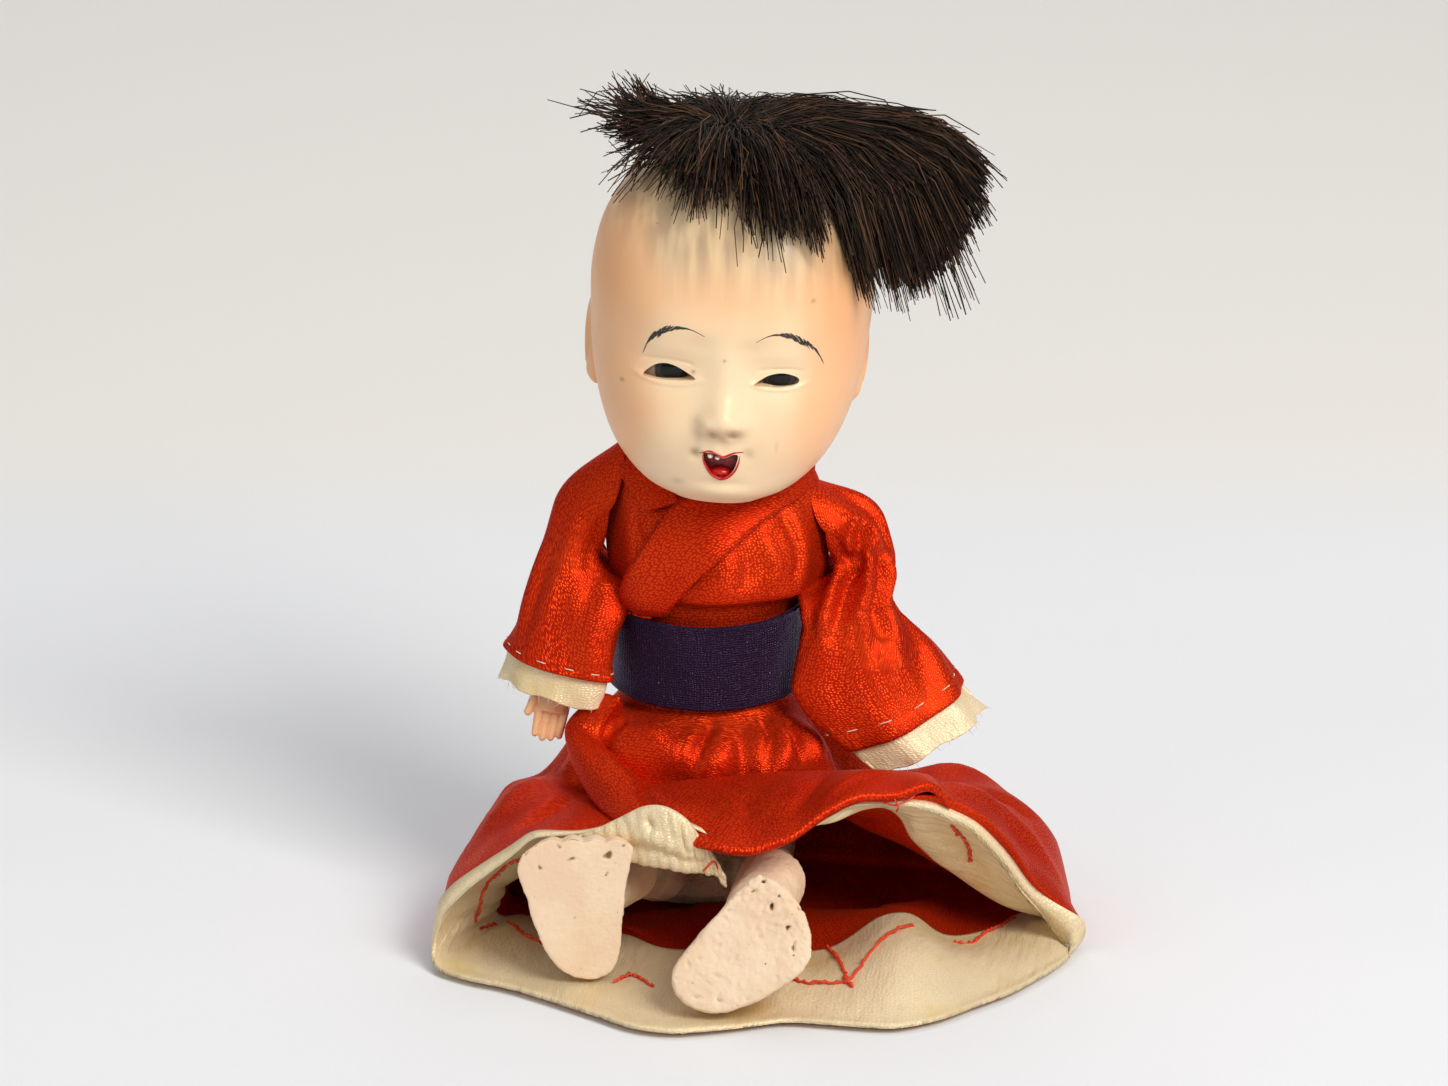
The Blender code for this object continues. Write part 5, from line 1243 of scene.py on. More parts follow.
def build_brows(tree, paints):
    """Brows as brushed ink strokes that lie on the face."""
    draw = np.random.default_rng(41)
    strokes = []
    for side, line in BROWS.items():
        outward = SIDES[side]
        for _ in range(BROW_STROKES):
            place = 6.0 * draw.random() ** 0.8
            start = read_open(line, [place])[0]
            ahead = read_open(line, [max(place - 0.25, 0.0)])[0] - start
            ahead = ahead / max(np.linalg.norm(ahead), 1e-6)
            full = bell(place, 2.6, 1.15)
            drop = draw.random() * 0.95 * full
            fall = np.array((outward * 0.25, -1.0)) * (0.35 + 0.5 * draw.random()) * full
            length = 0.35 + 0.35 * draw.random()
            first = start + np.array((0.0, -drop * 0.75))
            half_way = first + ahead * length * 0.5 + fall * 0.3
            last = first + ahead * length + fall * 0.75
            points = [
                HEAD_MATRIX @ Vector((p[0], face_front(tree, p[0], p[1]) + 0.02, p[1]))
                for p in (first, half_way, last)
            ]
            width = 0.05 + 0.03 * full
            strokes.append((np.array(points), (width, width, 0.015)))
    strand_piece("brushed_brows", strokes, paints["ink"], 5)


def build_ears(paints):
    """Shallow moulded ears with a hollow bowl and a lobe."""
    for side, sign in SIDES.items():
        maker = bmesh.new()
        bmesh.ops.create_uvsphere(maker, u_segments=48, v_segments=36, radius=1.0)
        for vert in maker.verts:
            x, y, z = vert.co
            outer = max(x, 0.0)
            bowl = math.exp(-0.5 * ((y / 0.42) ** 2 + ((z - 0.12) / 0.5) ** 2))
            rim = math.exp(-0.5 * ((math.hypot(y, z * 0.95) - 0.78) / 0.12) ** 2) * (z > -0.55)
            lobe = math.exp(-0.5 * (((z + 0.75) / 0.2) ** 2 + (y / 0.4) ** 2))
            vert.co.x = x - outer * (0.75 * bowl) + outer * (0.2 * rim + 0.25 * lobe)
            vert.co.y = y * (1.0 - 0.25 * max(-z, 0.0))
        place = Vector((EAR_PLACE[0] + EAR_STAND_OFF[side], EAR_PLACE[1], EAR_PLACE[2]))
        lean = Euler((math.radians(-12.0), 0.0, -math.radians(EAR_LEAN))).to_matrix().to_4x4()
        matrix = Matrix.Translation(place) @ lean @ Matrix.Diagonal((*EAR_HALF, 1.0))
        mirror = Matrix.Diagonal((sign, 1.0, 1.0, 1.0))
        bmesh.ops.transform(maker, matrix=HEAD_MATRIX @ mirror @ matrix, verts=maker.verts)
        bmesh.ops.recalc_face_normals(maker, faces=maker.faces)
        ear = finish_piece(f"ear_{side}", maker, paints["skin"])
        # The ears take the deep warm tint of the head's sides, the painted shade there.
        shade_evenly(ear, warm=0.85, wash=0.0, grime=0.0)


def build_neck(paints):
    """The neck that plugs the head into the trunk."""
    top = HEAD_MATRIX @ Vector((-0.6, 0.5, -10.0))
    path = np.array([NECK_FOOT, Vector((1.6, 0.1, 51.8)), top])
    places = np.linspace(0.0, 2.0, 25)
    middle = read_open(path, places)
    spins = np.linspace(0.0, TAU, 41)
    ring = np.stack([np.cos(spins), np.sin(spins), np.zeros(41)], axis=1)
    flare = 1.0 + 0.25 * smooth_step(1.1, 2.0, places)
    points = middle[:, None, :] + ring[None] * (NECK_RADIUS * flare)[:, None, None]
    maker = grid_maker(points, closed=True)
    bmesh.ops.holes_fill(maker, edges=maker.edges)
    bmesh.ops.recalc_face_normals(maker, faces=maker.faces)
    neck = finish_piece("neck_plug", maker, paints["skin"])
    # The neck is darkened a little all over.
    shade_evenly(neck, warm=0.5, wash=0.0, grime=0.1)


# Hair


def lock_guide(tip, rise, later_rise):
    """The line of a lock from the root, up, over and out to its tip."""
    tip = np.array(tip)
    reach = tip - HAIR_ROOT
    flat = np.array((reach[0], reach[1], 0.0))
    up = np.array((0.0, 0.0, 1.0))
    return np.array([
        HAIR_ROOT,
        HAIR_ROOT + flat * 0.34 + up * (rise + 0.8),
        HAIR_ROOT + flat * 0.78 + up * (later_rise + 0.3 * reach[2]),
        tip,
    ])


def make_strands(draw, guides, count, spread, trim, wave, radius, clear_of, back):
    """Strands that share out the space between neighbouring guides."""
    guides = np.array([lock_guide(*lock) for lock in guides])
    behind = np.array([lock_guide(*lock) for lock in back]) if back else None
    skin, inverse = clear_of
    strands = []
    clumps = max(count // 12, 6)
    clump_places = draw.random(clumps) * (len(guides) - 1)
    clump_fans = draw.normal(size=(clumps, 3))
    clump_ends = draw.random(clumps)
    for _ in range(count):
        clump = draw.integers(clumps)
        place = np.clip(clump_places[clump] + draw.normal() * 0.1, 0.0, len(guides) - 1.0)
        guide = read_open(guides, [place])[0]
        if behind is not None:
            depth = draw.random() ** 1.4
            far_guide = read_open(behind, [draw.random() * (len(behind) - 1)])[0]
            guide = guide * (1.0 - depth) + far_guide * depth
        cut = 0.6 * clump_ends[clump] + 0.4 * draw.random()
        end = 3.0 * (trim[0] + (trim[1] - trim[0]) * cut)
        shares = np.linspace(0.0, 1.0, STRAND_POINTS)
        line = read_open(guide, shares * end)
        fan = (0.8 * clump_fans[clump] + 0.5 * draw.normal(size=3)) * spread
        line = line + fan[None] * (0.25 + 0.75 * shares[:, None] ** 0.8)
        root = draw.normal(size=2) * 0.9
        line[:, :2] += root[None] * (1.0 - shares[:, None])
        twist = draw.normal(size=3) * wave
        sway = np.sin(shares * draw.uniform(2.0, 6.0) + draw.uniform(0.0, 6.0))
        line = line + twist[None] * sway[:, None] * shares[:, None]
        for k in range(STRAND_POINTS):
            own = inverse @ Vector(line[k])
            near, normal, _, _ = skin.find_nearest(own)
            if near is None or k == 0:
                continue
            if (own - near).dot(normal) < SCALP_GAP:
                line[k] = HEAD_MATRIX @ (near + normal * (SCALP_GAP + 0.5 * draw.random()))
        thick = radius * (0.75 + 0.5 * draw.random())
        radii = np.full(STRAND_POINTS, thick)
        radii[-1] = thick * 0.8
        strands.append((line, radii))
    return strands


def build_hair_pieces(settings, paints, skin):
    """The tuft: a long sweep, a thin fringe, short spikes and the back, all from one hole."""
    draw = np.random.default_rng(settings.hair_seed)
    skin_space = (skin, HEAD_MATRIX.inverted())
    share = 1.0
    thick = settings.strand_radius / MM
    recipes = {
        "hair_sweep_front": [
            (SWEEP_LOCKS, 2300, 0.85, (0.84, 1.0), 0.45, None),
            (SWEEP_LOCKS, 260, 1.2, (0.7, 1.0), 1.3, None),
        ],
        "hair_sweep_back": [
            (SWEEP_LOCKS, 1700, 1.0, (0.82, 1.0), 0.5, SWEEP_BACK_LOCKS),
            (SWEEP_LOCKS, 110, 1.2, (0.95, 1.06), 0.9, None),
        ],
        "hair_fringe": [
            (FRINGE_LOCKS, 820, 1.0, (0.6, 1.05), 1.0, None),
            (FRINGE_LOCKS[:3], 420, 0.6, (0.75, 1.0), 0.5, None),
            (SPIKE_LOCKS, 560, 0.9, (0.5, 1.05), 1.0, None),
            (SPIKE_LOCKS, 60, 1.4, (1.0, 1.15), 1.3, None),
            (FRINGE_LOCKS, 90, 1.2, (0.6, 1.1), 1.7, None),
        ],
        "hair_back": [(BACK_LOCKS, 2000, 1.0, (0.7, 1.02), 0.8, None)],
    }
    for name, bundles in recipes.items():
        strands = []
        for guides, count, spread, trim, wave, back in bundles:
            strands += make_strands(
                draw, guides, int(count * share), spread, trim, wave, thick, skin_space, back
            )
        strand_piece(name, strands, paints["hair"], len(strands))
    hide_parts("hair_tuft")


# Kimono


def read_round(table, columns):
    """Lines round the skirt's mouth, read at its columns and softened a little."""
    table = np.array(table)
    line = np.stack(
        [np.interp(columns, table[:, 0], row, period=RING_POINTS) for row in table.T[1:]], axis=1
    )
    for _ in range(6):
        ring = line[:-1]
        ring = 0.5 * ring + 0.25 * (np.roll(ring, 1, axis=0) + np.roll(ring, -1, axis=0))
        line = np.concatenate([ring, ring[:1]])
    return line


def skirt_columns():
    """Places round the skirt, closer together where the hem is long."""
    fine = np.linspace(0.0, RING_POINTS, 1201)
    steps = np.linalg.norm(np.diff(read_round(HEM_LINE, fine), axis=0), axis=1)
    travelled = np.concatenate([[0.0], np.cumsum(steps)])
    share = 0.55 * travelled / travelled[-1] + 0.45 * fine / RING_POINTS
    return np.interp(np.linspace(0.0, 1.0, SKIRT_COLUMNS + 1), share, fine)


def from_hem(points):
    """How far each point lies from the last row, along the cloth."""
    lengths = np.linalg.norm(np.diff(points[::-1], axis=0), axis=2)
    travelled = np.concatenate([np.zeros((1, points.shape[1])), np.cumsum(lengths, axis=0)])
    return travelled[::-1]


def press_folds(points, normal, folds):
    """Raises ridges and presses creases along lines that lie on or near the cloth."""
    flat = points.reshape(-1, 3)
    total = np.zeros(len(flat))
    for rise, width, line in folds:
        steps = 24
        places = np.linspace(0.0, len(line) - 1.0, steps)
        line = read_open(line, places)
        nearest = np.full(len(flat), np.inf)
        height = np.zeros(len(flat))
        for k, spot in enumerate(line):
            spot = flat[np.argmin(np.sum((flat - spot) ** 2, axis=1))]
            gap = np.sum((flat - spot) ** 2, axis=1)
            closer = gap < nearest
            nearest[closer] = gap[closer]
            height[closer] = math.sin(math.pi * (k + 1.0) / (steps + 1.0)) ** 0.6
        total += rise * height * np.exp(-nearest / (width * width))
    return points + normal * total.reshape(points.shape[:2])[..., None]


def skirt_points():
    """The skirt's outer face from waist to hem, with its gathers, pouch and folds."""
    table = []
    for z, half_width, half_depth in WAIST_RINGS:
        spin = TAU * np.arange(RING_POINTS) / RING_POINTS
        level = np.full(RING_POINTS, z)
        ring = [half_width * np.sin(spin), -half_depth * np.cos(spin), level]
        table.append(np.stack(ring, axis=1))
    table = np.array(table + [np.array(ring) for ring in SKIRT_RINGS])
    columns = skirt_columns()
    rings = np.array([read_closed(ring, columns) for ring in table])
    rows = (len(table) - 1.0) * np.linspace(0.0, 1.0, SKIRT_ROWS + 1) ** 0.85
    points = read_open(rings, rows)
    t = rows[:, None]
    to_hem_line = read_round(HEM_LINE, columns) - points[-1]
    points = points + to_hem_line * smooth_step(4.4, 7.0, t)[..., None]
    across = (columns / RING_POINTS)[None, :]
    angle = TAU * across
    gather = smooth_step(1.2, 2.2, t) * (1.0 - smooth_step(3.0, 4.6, t))
    out = np.stack([np.sin(angle), -np.cos(angle), np.zeros_like(angle)], axis=2)
    points = points + out * (GATHER_DEPTH * gather * np.cos(GATHERS * angle))[..., None]
    normal = surface_normals(points, closed=True)
    normal *= np.sign(np.sum(normal[20, :, :2] * out[0, :, :2]))
    front = smooth_step(0.26, 0.12, np.minimum(across, 1.0 - across))
    under_panel = front * smooth_step(2.8, 3.4, t)
    radiate = ripples(across, 0.06 * t, 7, 7, (7, 15), (-1.0, 1.0)) * smooth_step(1.3, 2.4, t)
    radiate *= 1.0 - 0.6 * smooth_step(5.0, 7.0, t)
    pouch = 1.7 * bell(t, 2.5, 0.36) * front - 0.5 * bell(t, 3.15, 0.16) * front
    drape = ripples(across, 0.15 * t, 11, 9, (2, 6), (-1.5, 1.5)) * smooth_step(2.6, 4.0, t)
    crease = np.abs(ripples(across, 0.2 * t, 19, 5, (5, 9), (-3.0, 3.0)))
    fold = 0.42 * radiate + 0.45 * drape - 0.4 * crease * smooth_step(2.0, 3.2, t)
    fold = fold * (1.0 - 0.8 * under_panel) * (1.0 - smooth_step(6.2, 7.0, t))
    fold = fold + pouch - 0.6 * under_panel * (1.0 - smooth_step(6.0, 7.0, t))
    points = points + normal * fold[..., None]
    points = press_folds(points, normal, SKIRT_FOLDS)
    roll = np.interp(columns, *np.array(EDGE_ROLL).T, period=RING_POINTS)[None, :]
    far = from_hem(points)
    crest = smooth_step(0.2, 1.6, far) * (1.0 - smooth_step(1.6, 9.0, far))
    forward = unit(points[-1] - points[-3])
    points = points + (0.8 * normal + 0.6 * forward[None]) * (roll * crest)[..., None]
    points = points - forward[None] * (0.8 * smooth_step(6.6, 7.0, t))[..., None]
    points[..., 2] = np.maximum(points[..., 2], 0.02)
    return points, normal, columns


def mouth_points(points, normal, columns):
    """The cream facing and the red lining behind it, from the hem's edge inwards."""
    lifts = read_round(FACING_LIFTS, columns)
    edge = read_round(HEM_LINE, columns)
    inner = read_round(FACING_INNER_LINE, columns)
    far = from_hem(points)
    back = np.empty_like(edge)
    for i in range(len(columns)):
        j = np.argmin(np.abs(far[:, i] - lifts[i, 1]))
        back[i] = points[j, i] - normal[j, i] * 1.4
    inward = np.cross(np.gradient(edge, axis=0), inner - edge)
    inward /= np.maximum(np.linalg.norm(inward, axis=1, keepdims=True), 1e-6)
    inward *= np.sign(np.sum(inward * (np.array(SKIRT_MOUTH_MIDDLE) - edge), axis=1))[:, None]
    half_way = 0.5 * (edge + inner) + inward * lifts[:, :1]
    lining = 0.5 * (inner + back) + inward * 0.6
    table = np.array([edge, half_way, inner, lining, back])
    rows = np.concatenate([
        np.linspace(0.0, 2.0, FACING_ROWS + 1), np.linspace(2.0, 4.0, LINING_ROWS + 1)[1:],
    ])
    mouth = read_open(table, rows)
    t = rows[:, None]
    across = (columns / RING_POINTS)[None, :]
    facing = normal_side(mouth, inward)
    crinkle = 0.0
    for depth, drift, seed, count, waves_across, waves_along, start, full in MOUTH_RIPPLES:
        waves = ripples(across, drift * t, seed, count, waves_across, waves_along)
        crinkle = crinkle + depth * (waves * smooth_step(start, full, t))
    mouth = mouth + facing * crinkle[..., None]
    mouth[..., 2] = np.maximum(mouth[..., 2], 0.75)
    return mouth


def normal_side(points, towards):
    """Unit normals of a closed loft, turned to the side of the given vectors."""
    normal = surface_normals(points, closed=True)
    return normal * np.where(np.sum(normal * towards[None], axis=2) < 0.0, -1.0, 1.0)[..., None]


def build_skirt_pieces(paints):
    """The skirt, the cream facing of its hem, the lining behind it and the thread of both."""
    points, normal, columns = skirt_points()
    skirt = cloth_piece("red_skirt", points, paints["red"])
    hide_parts("kimono_skirt")
    mouth = mouth_points(points, normal, columns)
    forward = unit(points[-1] - points[-4])
    lip = mouth[0] + forward * 0.6
    outer = points[-4] + normal[-4] * 0.22 - forward * 0.2
    band = np.concatenate([[outer, 0.5 * (outer + lip), lip], mouth[1:FACING_ROWS + 1]])
    band[..., 2] = np.maximum(band[..., 2], 0.05)
    facing = cloth_piece(
        "cream_hem_facing", band, paints["cream"], thick=0.22, face_out=False
    )
    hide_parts("hem_lining")
    lining = cloth_piece(
        "red_skirt_lining", mouth[FACING_ROWS - 1:], paints["red"],
        thick=0.2, face_out=False,
    )
    build_over_panel(paints)
    build_cream_corner(paints)
    stitch_hem(mouth, paints)


def patch_points(table, columns, rows):
    """A smooth patch through an array of control points, rows by columns."""
    table = np.asarray(table, float)
    down = read_open(table, np.linspace(0.0, len(table) - 1.0, rows + 1))
    turned = np.swapaxes(down, 0, 1)
    across = read_open(turned, np.linspace(0.0, len(turned) - 1.0, columns + 1))
    return np.swapaxes(across, 0, 1)


def patch_shares(points):
    """How far across and along a patch each of its columns and rows lies, from 0 to 1."""
    rows, columns = points.shape[:2]
    return np.linspace(0.0, 1.0, columns)[None, :], np.linspace(0.0, 1.0, rows)[:, None]


def build_over_panel(paints):
    """The front panel of the kimono, lapped over the knees with its edge rolled under."""
    upper = np.array([row[0] for row in OVER_PANEL])
    lower = np.array([row[1] for row in OVER_PANEL])
    rise = np.array([row[2] for row in OVER_PANEL])
    leftward = smooth_step(-6.0, -15.0, upper[:, 0])
    out = np.stack([-0.6 * leftward, -0.4 - 0.1 * leftward, 0.95 - 0.35 * leftward], axis=1)
    rows = [upper + np.array((0.0, 1.8, -2.2)), upper]
    for share, swell in ((0.25, 0.9), (0.5, 1.0), (0.75, 0.8)):
        rows.append(upper + (lower - upper) * share + out * (rise * swell)[:, None])
    rows.append(lower)
    rows.append(lower + np.array((0.0, 0.5, -0.75)))
    rows.append(lower + np.array((0.0, 2.6, -0.9)))
    points = patch_points(rows, 190, 72)
    normal = surface_normals(points, closed=False)
    normal *= np.sign(np.sum(normal[30, :, 2]))
    u, v = patch_shares(points)
    inside = smooth_step(0.16, 0.3, v) * (1.0 - smooth_step(0.6, 0.72, v))
    soft = ripples(u, 0.25 * v, 89, 8, (3, 11), (-2.5, 2.5)) * inside
    points = points + normal * (0.22 * soft)[..., None]
    points = press_folds(points, normal, PANEL_FOLDS)
    panel = cloth_piece(
        "red_over_panel", points, paints["red"],
        closed=False, thick=0.28, face_out=False,
    )


def build_cream_corner(paints):
    """The corner of the facing that hangs turned over the right shin."""
    upper = np.array([row[0] for row in CREAM_CORNER])
    lower = np.array([row[1] for row in CREAM_CORNER])
    swell = np.sin(np.linspace(0.0, math.pi, len(upper)))[:, None] * np.array((0.0, -1.0, 0.15))
    rows = [upper + np.array((0.0, 1.2, -0.6)), upper]
    for share, rise in ((0.33, 0.7), (0.66, 0.5)):
        rows.append(upper + (lower - upper) * share + swell * rise)
    rows += [lower, lower + np.array((0.0, 1.0, 0.3))]
    points = patch_points(rows, 96, 50)
    normal = surface_normals(points, closed=False)
    normal *= -np.sign(np.sum(normal[20, :, 1]))
    u, v = patch_shares(points)
    crinkle = ripples(u, 0.6 * v, 97, 9, (4, 17), (-4.0, 4.0)) * smooth_step(0.15, 0.3, v)
    points = points + normal * (0.13 * crinkle)[..., None]
    points = press_folds(points, normal, CORNER_FOLDS)
    corner = cloth_piece(
        "cream_turned_corner", points, paints["cream"],
        closed=False, thick=0.2, face_out=False,
    )


def thread_over(surface, line, draw):
    """A hand-sewn thread laid along a line over cloth, dipping where it is stitched down."""
    steps = max(16, 10 * len(line))
    path = read_open(line, np.linspace(0.0, len(line) - 1.0, steps))
    laid = []
    for k, spot in enumerate(path):
        near, normal, _, _ = surface.find_nearest(Vector(spot))
        if normal.dot(Vector(SKIRT_MOUTH_MIDDLE) - near) < 0.0:
            normal = -normal
        wander = Vector(draw.normal(size=3)) * 0.1
        laid.append(near + normal * (THREAD_LIFT + 0.1 * (k % 3 == 1)) + wander)
    return np.array(laid)


def stitch_hem(mouth, paints):
    """The red running stitch round the facing, and its tacks."""
    draw = np.random.default_rng(61)
    maker = grid_maker(mouth, closed=True)
    surface = BVHTree.FromBMesh(maker)
    maker.free()
    threads = [thread_over(surface, line, draw) for line in HEM_STITCHES]
    most = max(len(points) for points in threads)
    strands = []
    for lines, radius in ((threads, THREAD_RADIUS), (LOOSE_TACKS, TACK_RADIUS)):
        for line in lines:
            points = read_open(line, np.linspace(0.0, len(line) - 1.0, most))
            strands.append((points, np.full(most, radius)))
    strand_piece("red_running_stitch", strands, paints["thread"], 8)


def bodice_points(angles, rows):
    """Points on the outside of the bodice for angles from the front and rows of its table."""
    read = read_open(BODICE_ROWS, rows)
    z, middle_x, middle_y, half_width, half_depth, dip = (read[:, c] for c in range(6))
    blousing = smooth_step(1.0, 2.0, rows) * (1.0 - smooth_step(3.4, 5.0, rows))
    swell = 1.0 + BODICE_FOLD / half_width * blousing * np.cos(BODICE_FOLDS * angles)
    x = middle_x + half_width * swell * np.sin(angles)
    y = middle_y - half_depth * swell * np.cos(angles)
    slope = smooth_step(SHOULDER_SLOPE_FROM, SHOULDER_SLOPE_FROM + 8.0, z)
    front = np.maximum(np.cos(angles), 0.0)
    return np.stack([x, y, z - SHOULDER_SLOPE * slope * (x - middle_x) - dip * front], axis=1)


def build_bodice_pieces(paints):
    """The upper body of the kimono and its crossed collar band."""
    columns, rows = 200, 96
    angles = np.linspace(0.0, TAU, columns + 1)
    places = 7.0 * np.linspace(0.0, 1.0, rows + 1)
    points = np.array([bodice_points(angles, np.full(columns + 1, t)) for t in places])
    normal = surface_normals(points, closed=True)
    normal *= np.sign(np.sum(normal[rows // 2, :, 1] * -np.cos(angles)))
    across = (angles / TAU)[None, :]
    t = places[:, None]
    soft = ripples(across, 0.12 * t, 31, 8, (4, 12), (-2.0, 2.0)) * smooth_step(1.2, 2.4, t)
    soft *= 1.0 - smooth_step(6.0, 7.0, t)
    points = points + normal * (0.2 * soft)[..., None]
    points = press_folds(points, normal, BODICE_CREASES)
    bodice = cloth_piece("red_bodice", points, paints["red"])
    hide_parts("kimono_bodice")
    steps, wide = 150, 12
    t = np.linspace(0.0, 11.0, steps + 1)
    neck = read_open(np.array(COLLAR_NECK_EDGE), t)
    outer = read_open(np.array(COLLAR_OUTER_EDGE), t)
    band = []
    for c in range(wide + 1):
        share = c / wide
        edge = neck + (outer - neck) * share
        angle = np.radians(edge[:, 0])
        here = bodice_points(angle, edge[:, 1])
        along = bodice_points(angle + 0.02, edge[:, 1]) - bodice_points(angle - 0.02, edge[:, 1])
        up = bodice_points(angle, edge[:, 1] + 0.02) - bodice_points(angle, edge[:, 1] - 0.02)
        out = unit(np.cross(along, up))
        over = smooth_step(6.8, 8.2, t) * 0.8
        seams = bell(share, 0.1, 0.06) + bell(share, 0.9, 0.06)
        roll = 0.16 * math.sin(math.pi * share) + 0.1 * seams
        band.append(here + out * (0.95 + over + roll)[:, None])
    band = np.array(band)
    collar = cloth_piece(
        "red_collar_band", band, paints["red"],
        closed=False, thick=0.45, face_out=False,
    )
    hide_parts("collar_band")


def sleeve_grid(side):
    """A sleeve's outer face with its folds, from the shoulder seam to the cuff."""
    columns, rows = SLEEVE_COLUMNS, SLEEVE_ROWS
    table = np.array(SLEEVE_RINGS[side])
    places = (len(table) - 1.0) * np.linspace(0.0, 1.0, rows + 1)
    read = read_open(table, places)
    middle, out, back, bend = read[:, 0:3], read[:, 3:6], read[:, 6:9], read[:, 9]
    angles = np.linspace(0.0, TAU, columns + 1)
    folds = SLEEVE_FOLD * smooth_step(0.0, 1.5, places)
    phase = SLEEVE_FOLDS[side] * angles[None, :] + 1.1 * places[:, None]
    wave = 1.0 + folds[:, None] * np.cos(phase)
    turn = np.zeros((rows + 1, columns + 1, 3))
    turn[..., 0] = -SIDES[side] * bend[:, None] * np.sin(angles)[None, :] ** 2
    reach = out[:, None] * np.cos(angles)[None, :, None]
    reach = reach + back[:, None] * np.sin(angles)[None, :, None]
    points = middle[:, None] + reach * wave[..., None] + turn
    near_shoulder = 1.0 - smooth_step(0.0, 1.3, places)
    upper = np.maximum(np.cos(angles), 0.0)[None, :] ** 0.7 * near_shoulder[:, None]
    over, rise = SHOULDER_LAPS[side]
    points[..., 0] -= SIDES[side] * over * upper
    points[..., 2] += rise * upper
    inward = np.interp(places, *np.array(SLEEVE_FALLS_INWARD[side]).T)
    inner_side = np.maximum(-np.cos(angles), 0.0)[None, :] ** 1.4
    points[..., 0] -= SIDES[side] * inward[:, None] * inner_side
    normal = surface_normals(points, closed=True)
    normal *= np.sign(np.sum(normal[rows // 2] * reach[rows // 2]))
    t = places[:, None]
    across = (angles / TAU)[None, :]
    if side == "left":
        ridges = np.cos(TAU * (9.0 * across + 0.16 * t))
        ridges = np.sign(ridges) * np.abs(ridges) ** 0.8
        fold = 0.42 * ridges * smooth_step(0.1, 1.0, t) * (1.0 - smooth_step(2.6, 4.0, t))
    else:
        ridges = np.cos(TAU * (3.0 * across + 0.05 * t))
        fold = 0.22 * ridges * smooth_step(0.1, 1.0, t) * (1.0 - smooth_step(2.2, 4.0, t))
    soft = ripples(across, 0.1 * t, 37, 7, (2, 7), (-2.5, 2.5))
    fold = fold + 0.16 * soft * smooth_step(0.4, 2.0, t)
    hem = smooth_step(4.72, 4.78, t) - smooth_step(4.93, 5.0, t)
    points = points + normal * (fold + 0.09 * hem)[..., None]
    points = press_folds(points, normal, SLEEVE_CREASES[side])
    return points, normal


def build_sleeve_pieces(paints):
    """Sleeves, the cream lining that shows at each cuff, and the basting stitches."""
    draw = np.random.default_rng(71)
    dashes, frays = [], []
    for side in SIDES:
        points, normal = sleeve_grid(side)
        sleeve = cloth_piece(f"red_sleeve_{side}", points, paints["red"])
        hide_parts(f"sleeve_{side}")
        columns = points.shape[1]
        half = (columns - 1) // 2
        towards = 0.5 * (points[-1, 0] + points[-1, half] - points[-12, 0] - points[-12, half])
        towards = towards / np.linalg.norm(towards)
        inner = points - normal * (SILK_THICK + LINING_GAP)
        across = np.arange(columns) / (columns - 1)
        ragged = 1.0 + 0.09 * ripples(across, 0.0, 43, 6, (2, 6), (0.0, 1.0)) \
            + 0.02 * ripples(across, 0.0, 47, 6, (9, 21), (0.0, 1.0))
        drop = np.linspace(0.0, 1.0, 23)[1:, None, None] * CUFF_SHOWS[side] * ragged[None, :, None]
        down = np.linspace(0.0, 0.6, 22)[:, None]
        curl = 0.25 * ripples(across[None, :], down, 53, 6, (3, 9), (-1.0, 1.0))
        curl = curl * np.linspace(0.0, 1.0, 22)[:, None]
        shown = inner[-1][None] + towards * drop + normal[-1][None] * curl[..., None]
        lining = np.concatenate([inner[-40:], shown])
        cuff = cloth_piece(f"cream_cuff_{side}", lining, paints["cream"], thick=0.22)
        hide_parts(f"sleeve_lining_{side}")
        for i in range(0, columns - 6, 11):
            row = points.shape[0] - 8
            lifts = (-0.12, 0.1, 0.1, 0.1, -0.12)
            line = [points[row, i + k] + normal[row, i + k] * lift for k, lift in enumerate(lifts)]
            dashes.append((np.array(line), np.full(5, 0.075)))
        for _ in range(36):
            i = draw.integers(0, columns - 1)
            root = lining[-1, i]
            lean = draw.normal(size=3) * 0.3
            tip = root + towards * draw.uniform(0.2, 0.75) + lean
            mid = 0.5 * (root + tip) + draw.normal(size=3) * 0.08
            line = np.array([root - towards * 0.2, mid, tip])
            frays.append((line, np.array([0.035, 0.035, 0.015])))
    strand_piece("white_basting_stitches", dashes, paints["white_thread"], 9)
    strand_piece("frayed_cuff_threads", frays, paints["white_thread"], 10)


def build_obi_piece(paints):
    """The ribbon round the waist, gently buckled."""
    columns, rows = 220, 40
    angles = np.linspace(0.0, TAU, columns + 1)
    across = angles / TAU
    levels = np.linspace(0.0, 1.0, rows + 1)
    lift = OBI_SIDE_RISE * np.sin(angles) ** 2
    x = OBI_HALF_WIDTH * np.sin(angles)
    y = -OBI_HALF_DEPTH * np.cos(angles)
    points = np.array([
        np.stack([x, y, OBI_FOOT + OBI_HEIGHT * level + lift], axis=1) for level in levels
    ])
    out = np.stack([np.sin(angles), -np.cos(angles), np.zeros_like(angles)], axis=1)
    t = levels[:, None]
    buckle = 0.12 * ripples(across[None, :], 0.7 * t, 59, 7, (2, 8), (-1.5, 1.5))
    edge = 0.12 * (bell(t, 0.03, 0.02) + bell(t, 0.97, 0.02))
    points = points + out[None] * (buckle + edge)[..., None]
    obi = cloth_piece("obi_ribbon", points, paints["ribbon"], thick=0.7)
    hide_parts("obi_band")


# Limbs


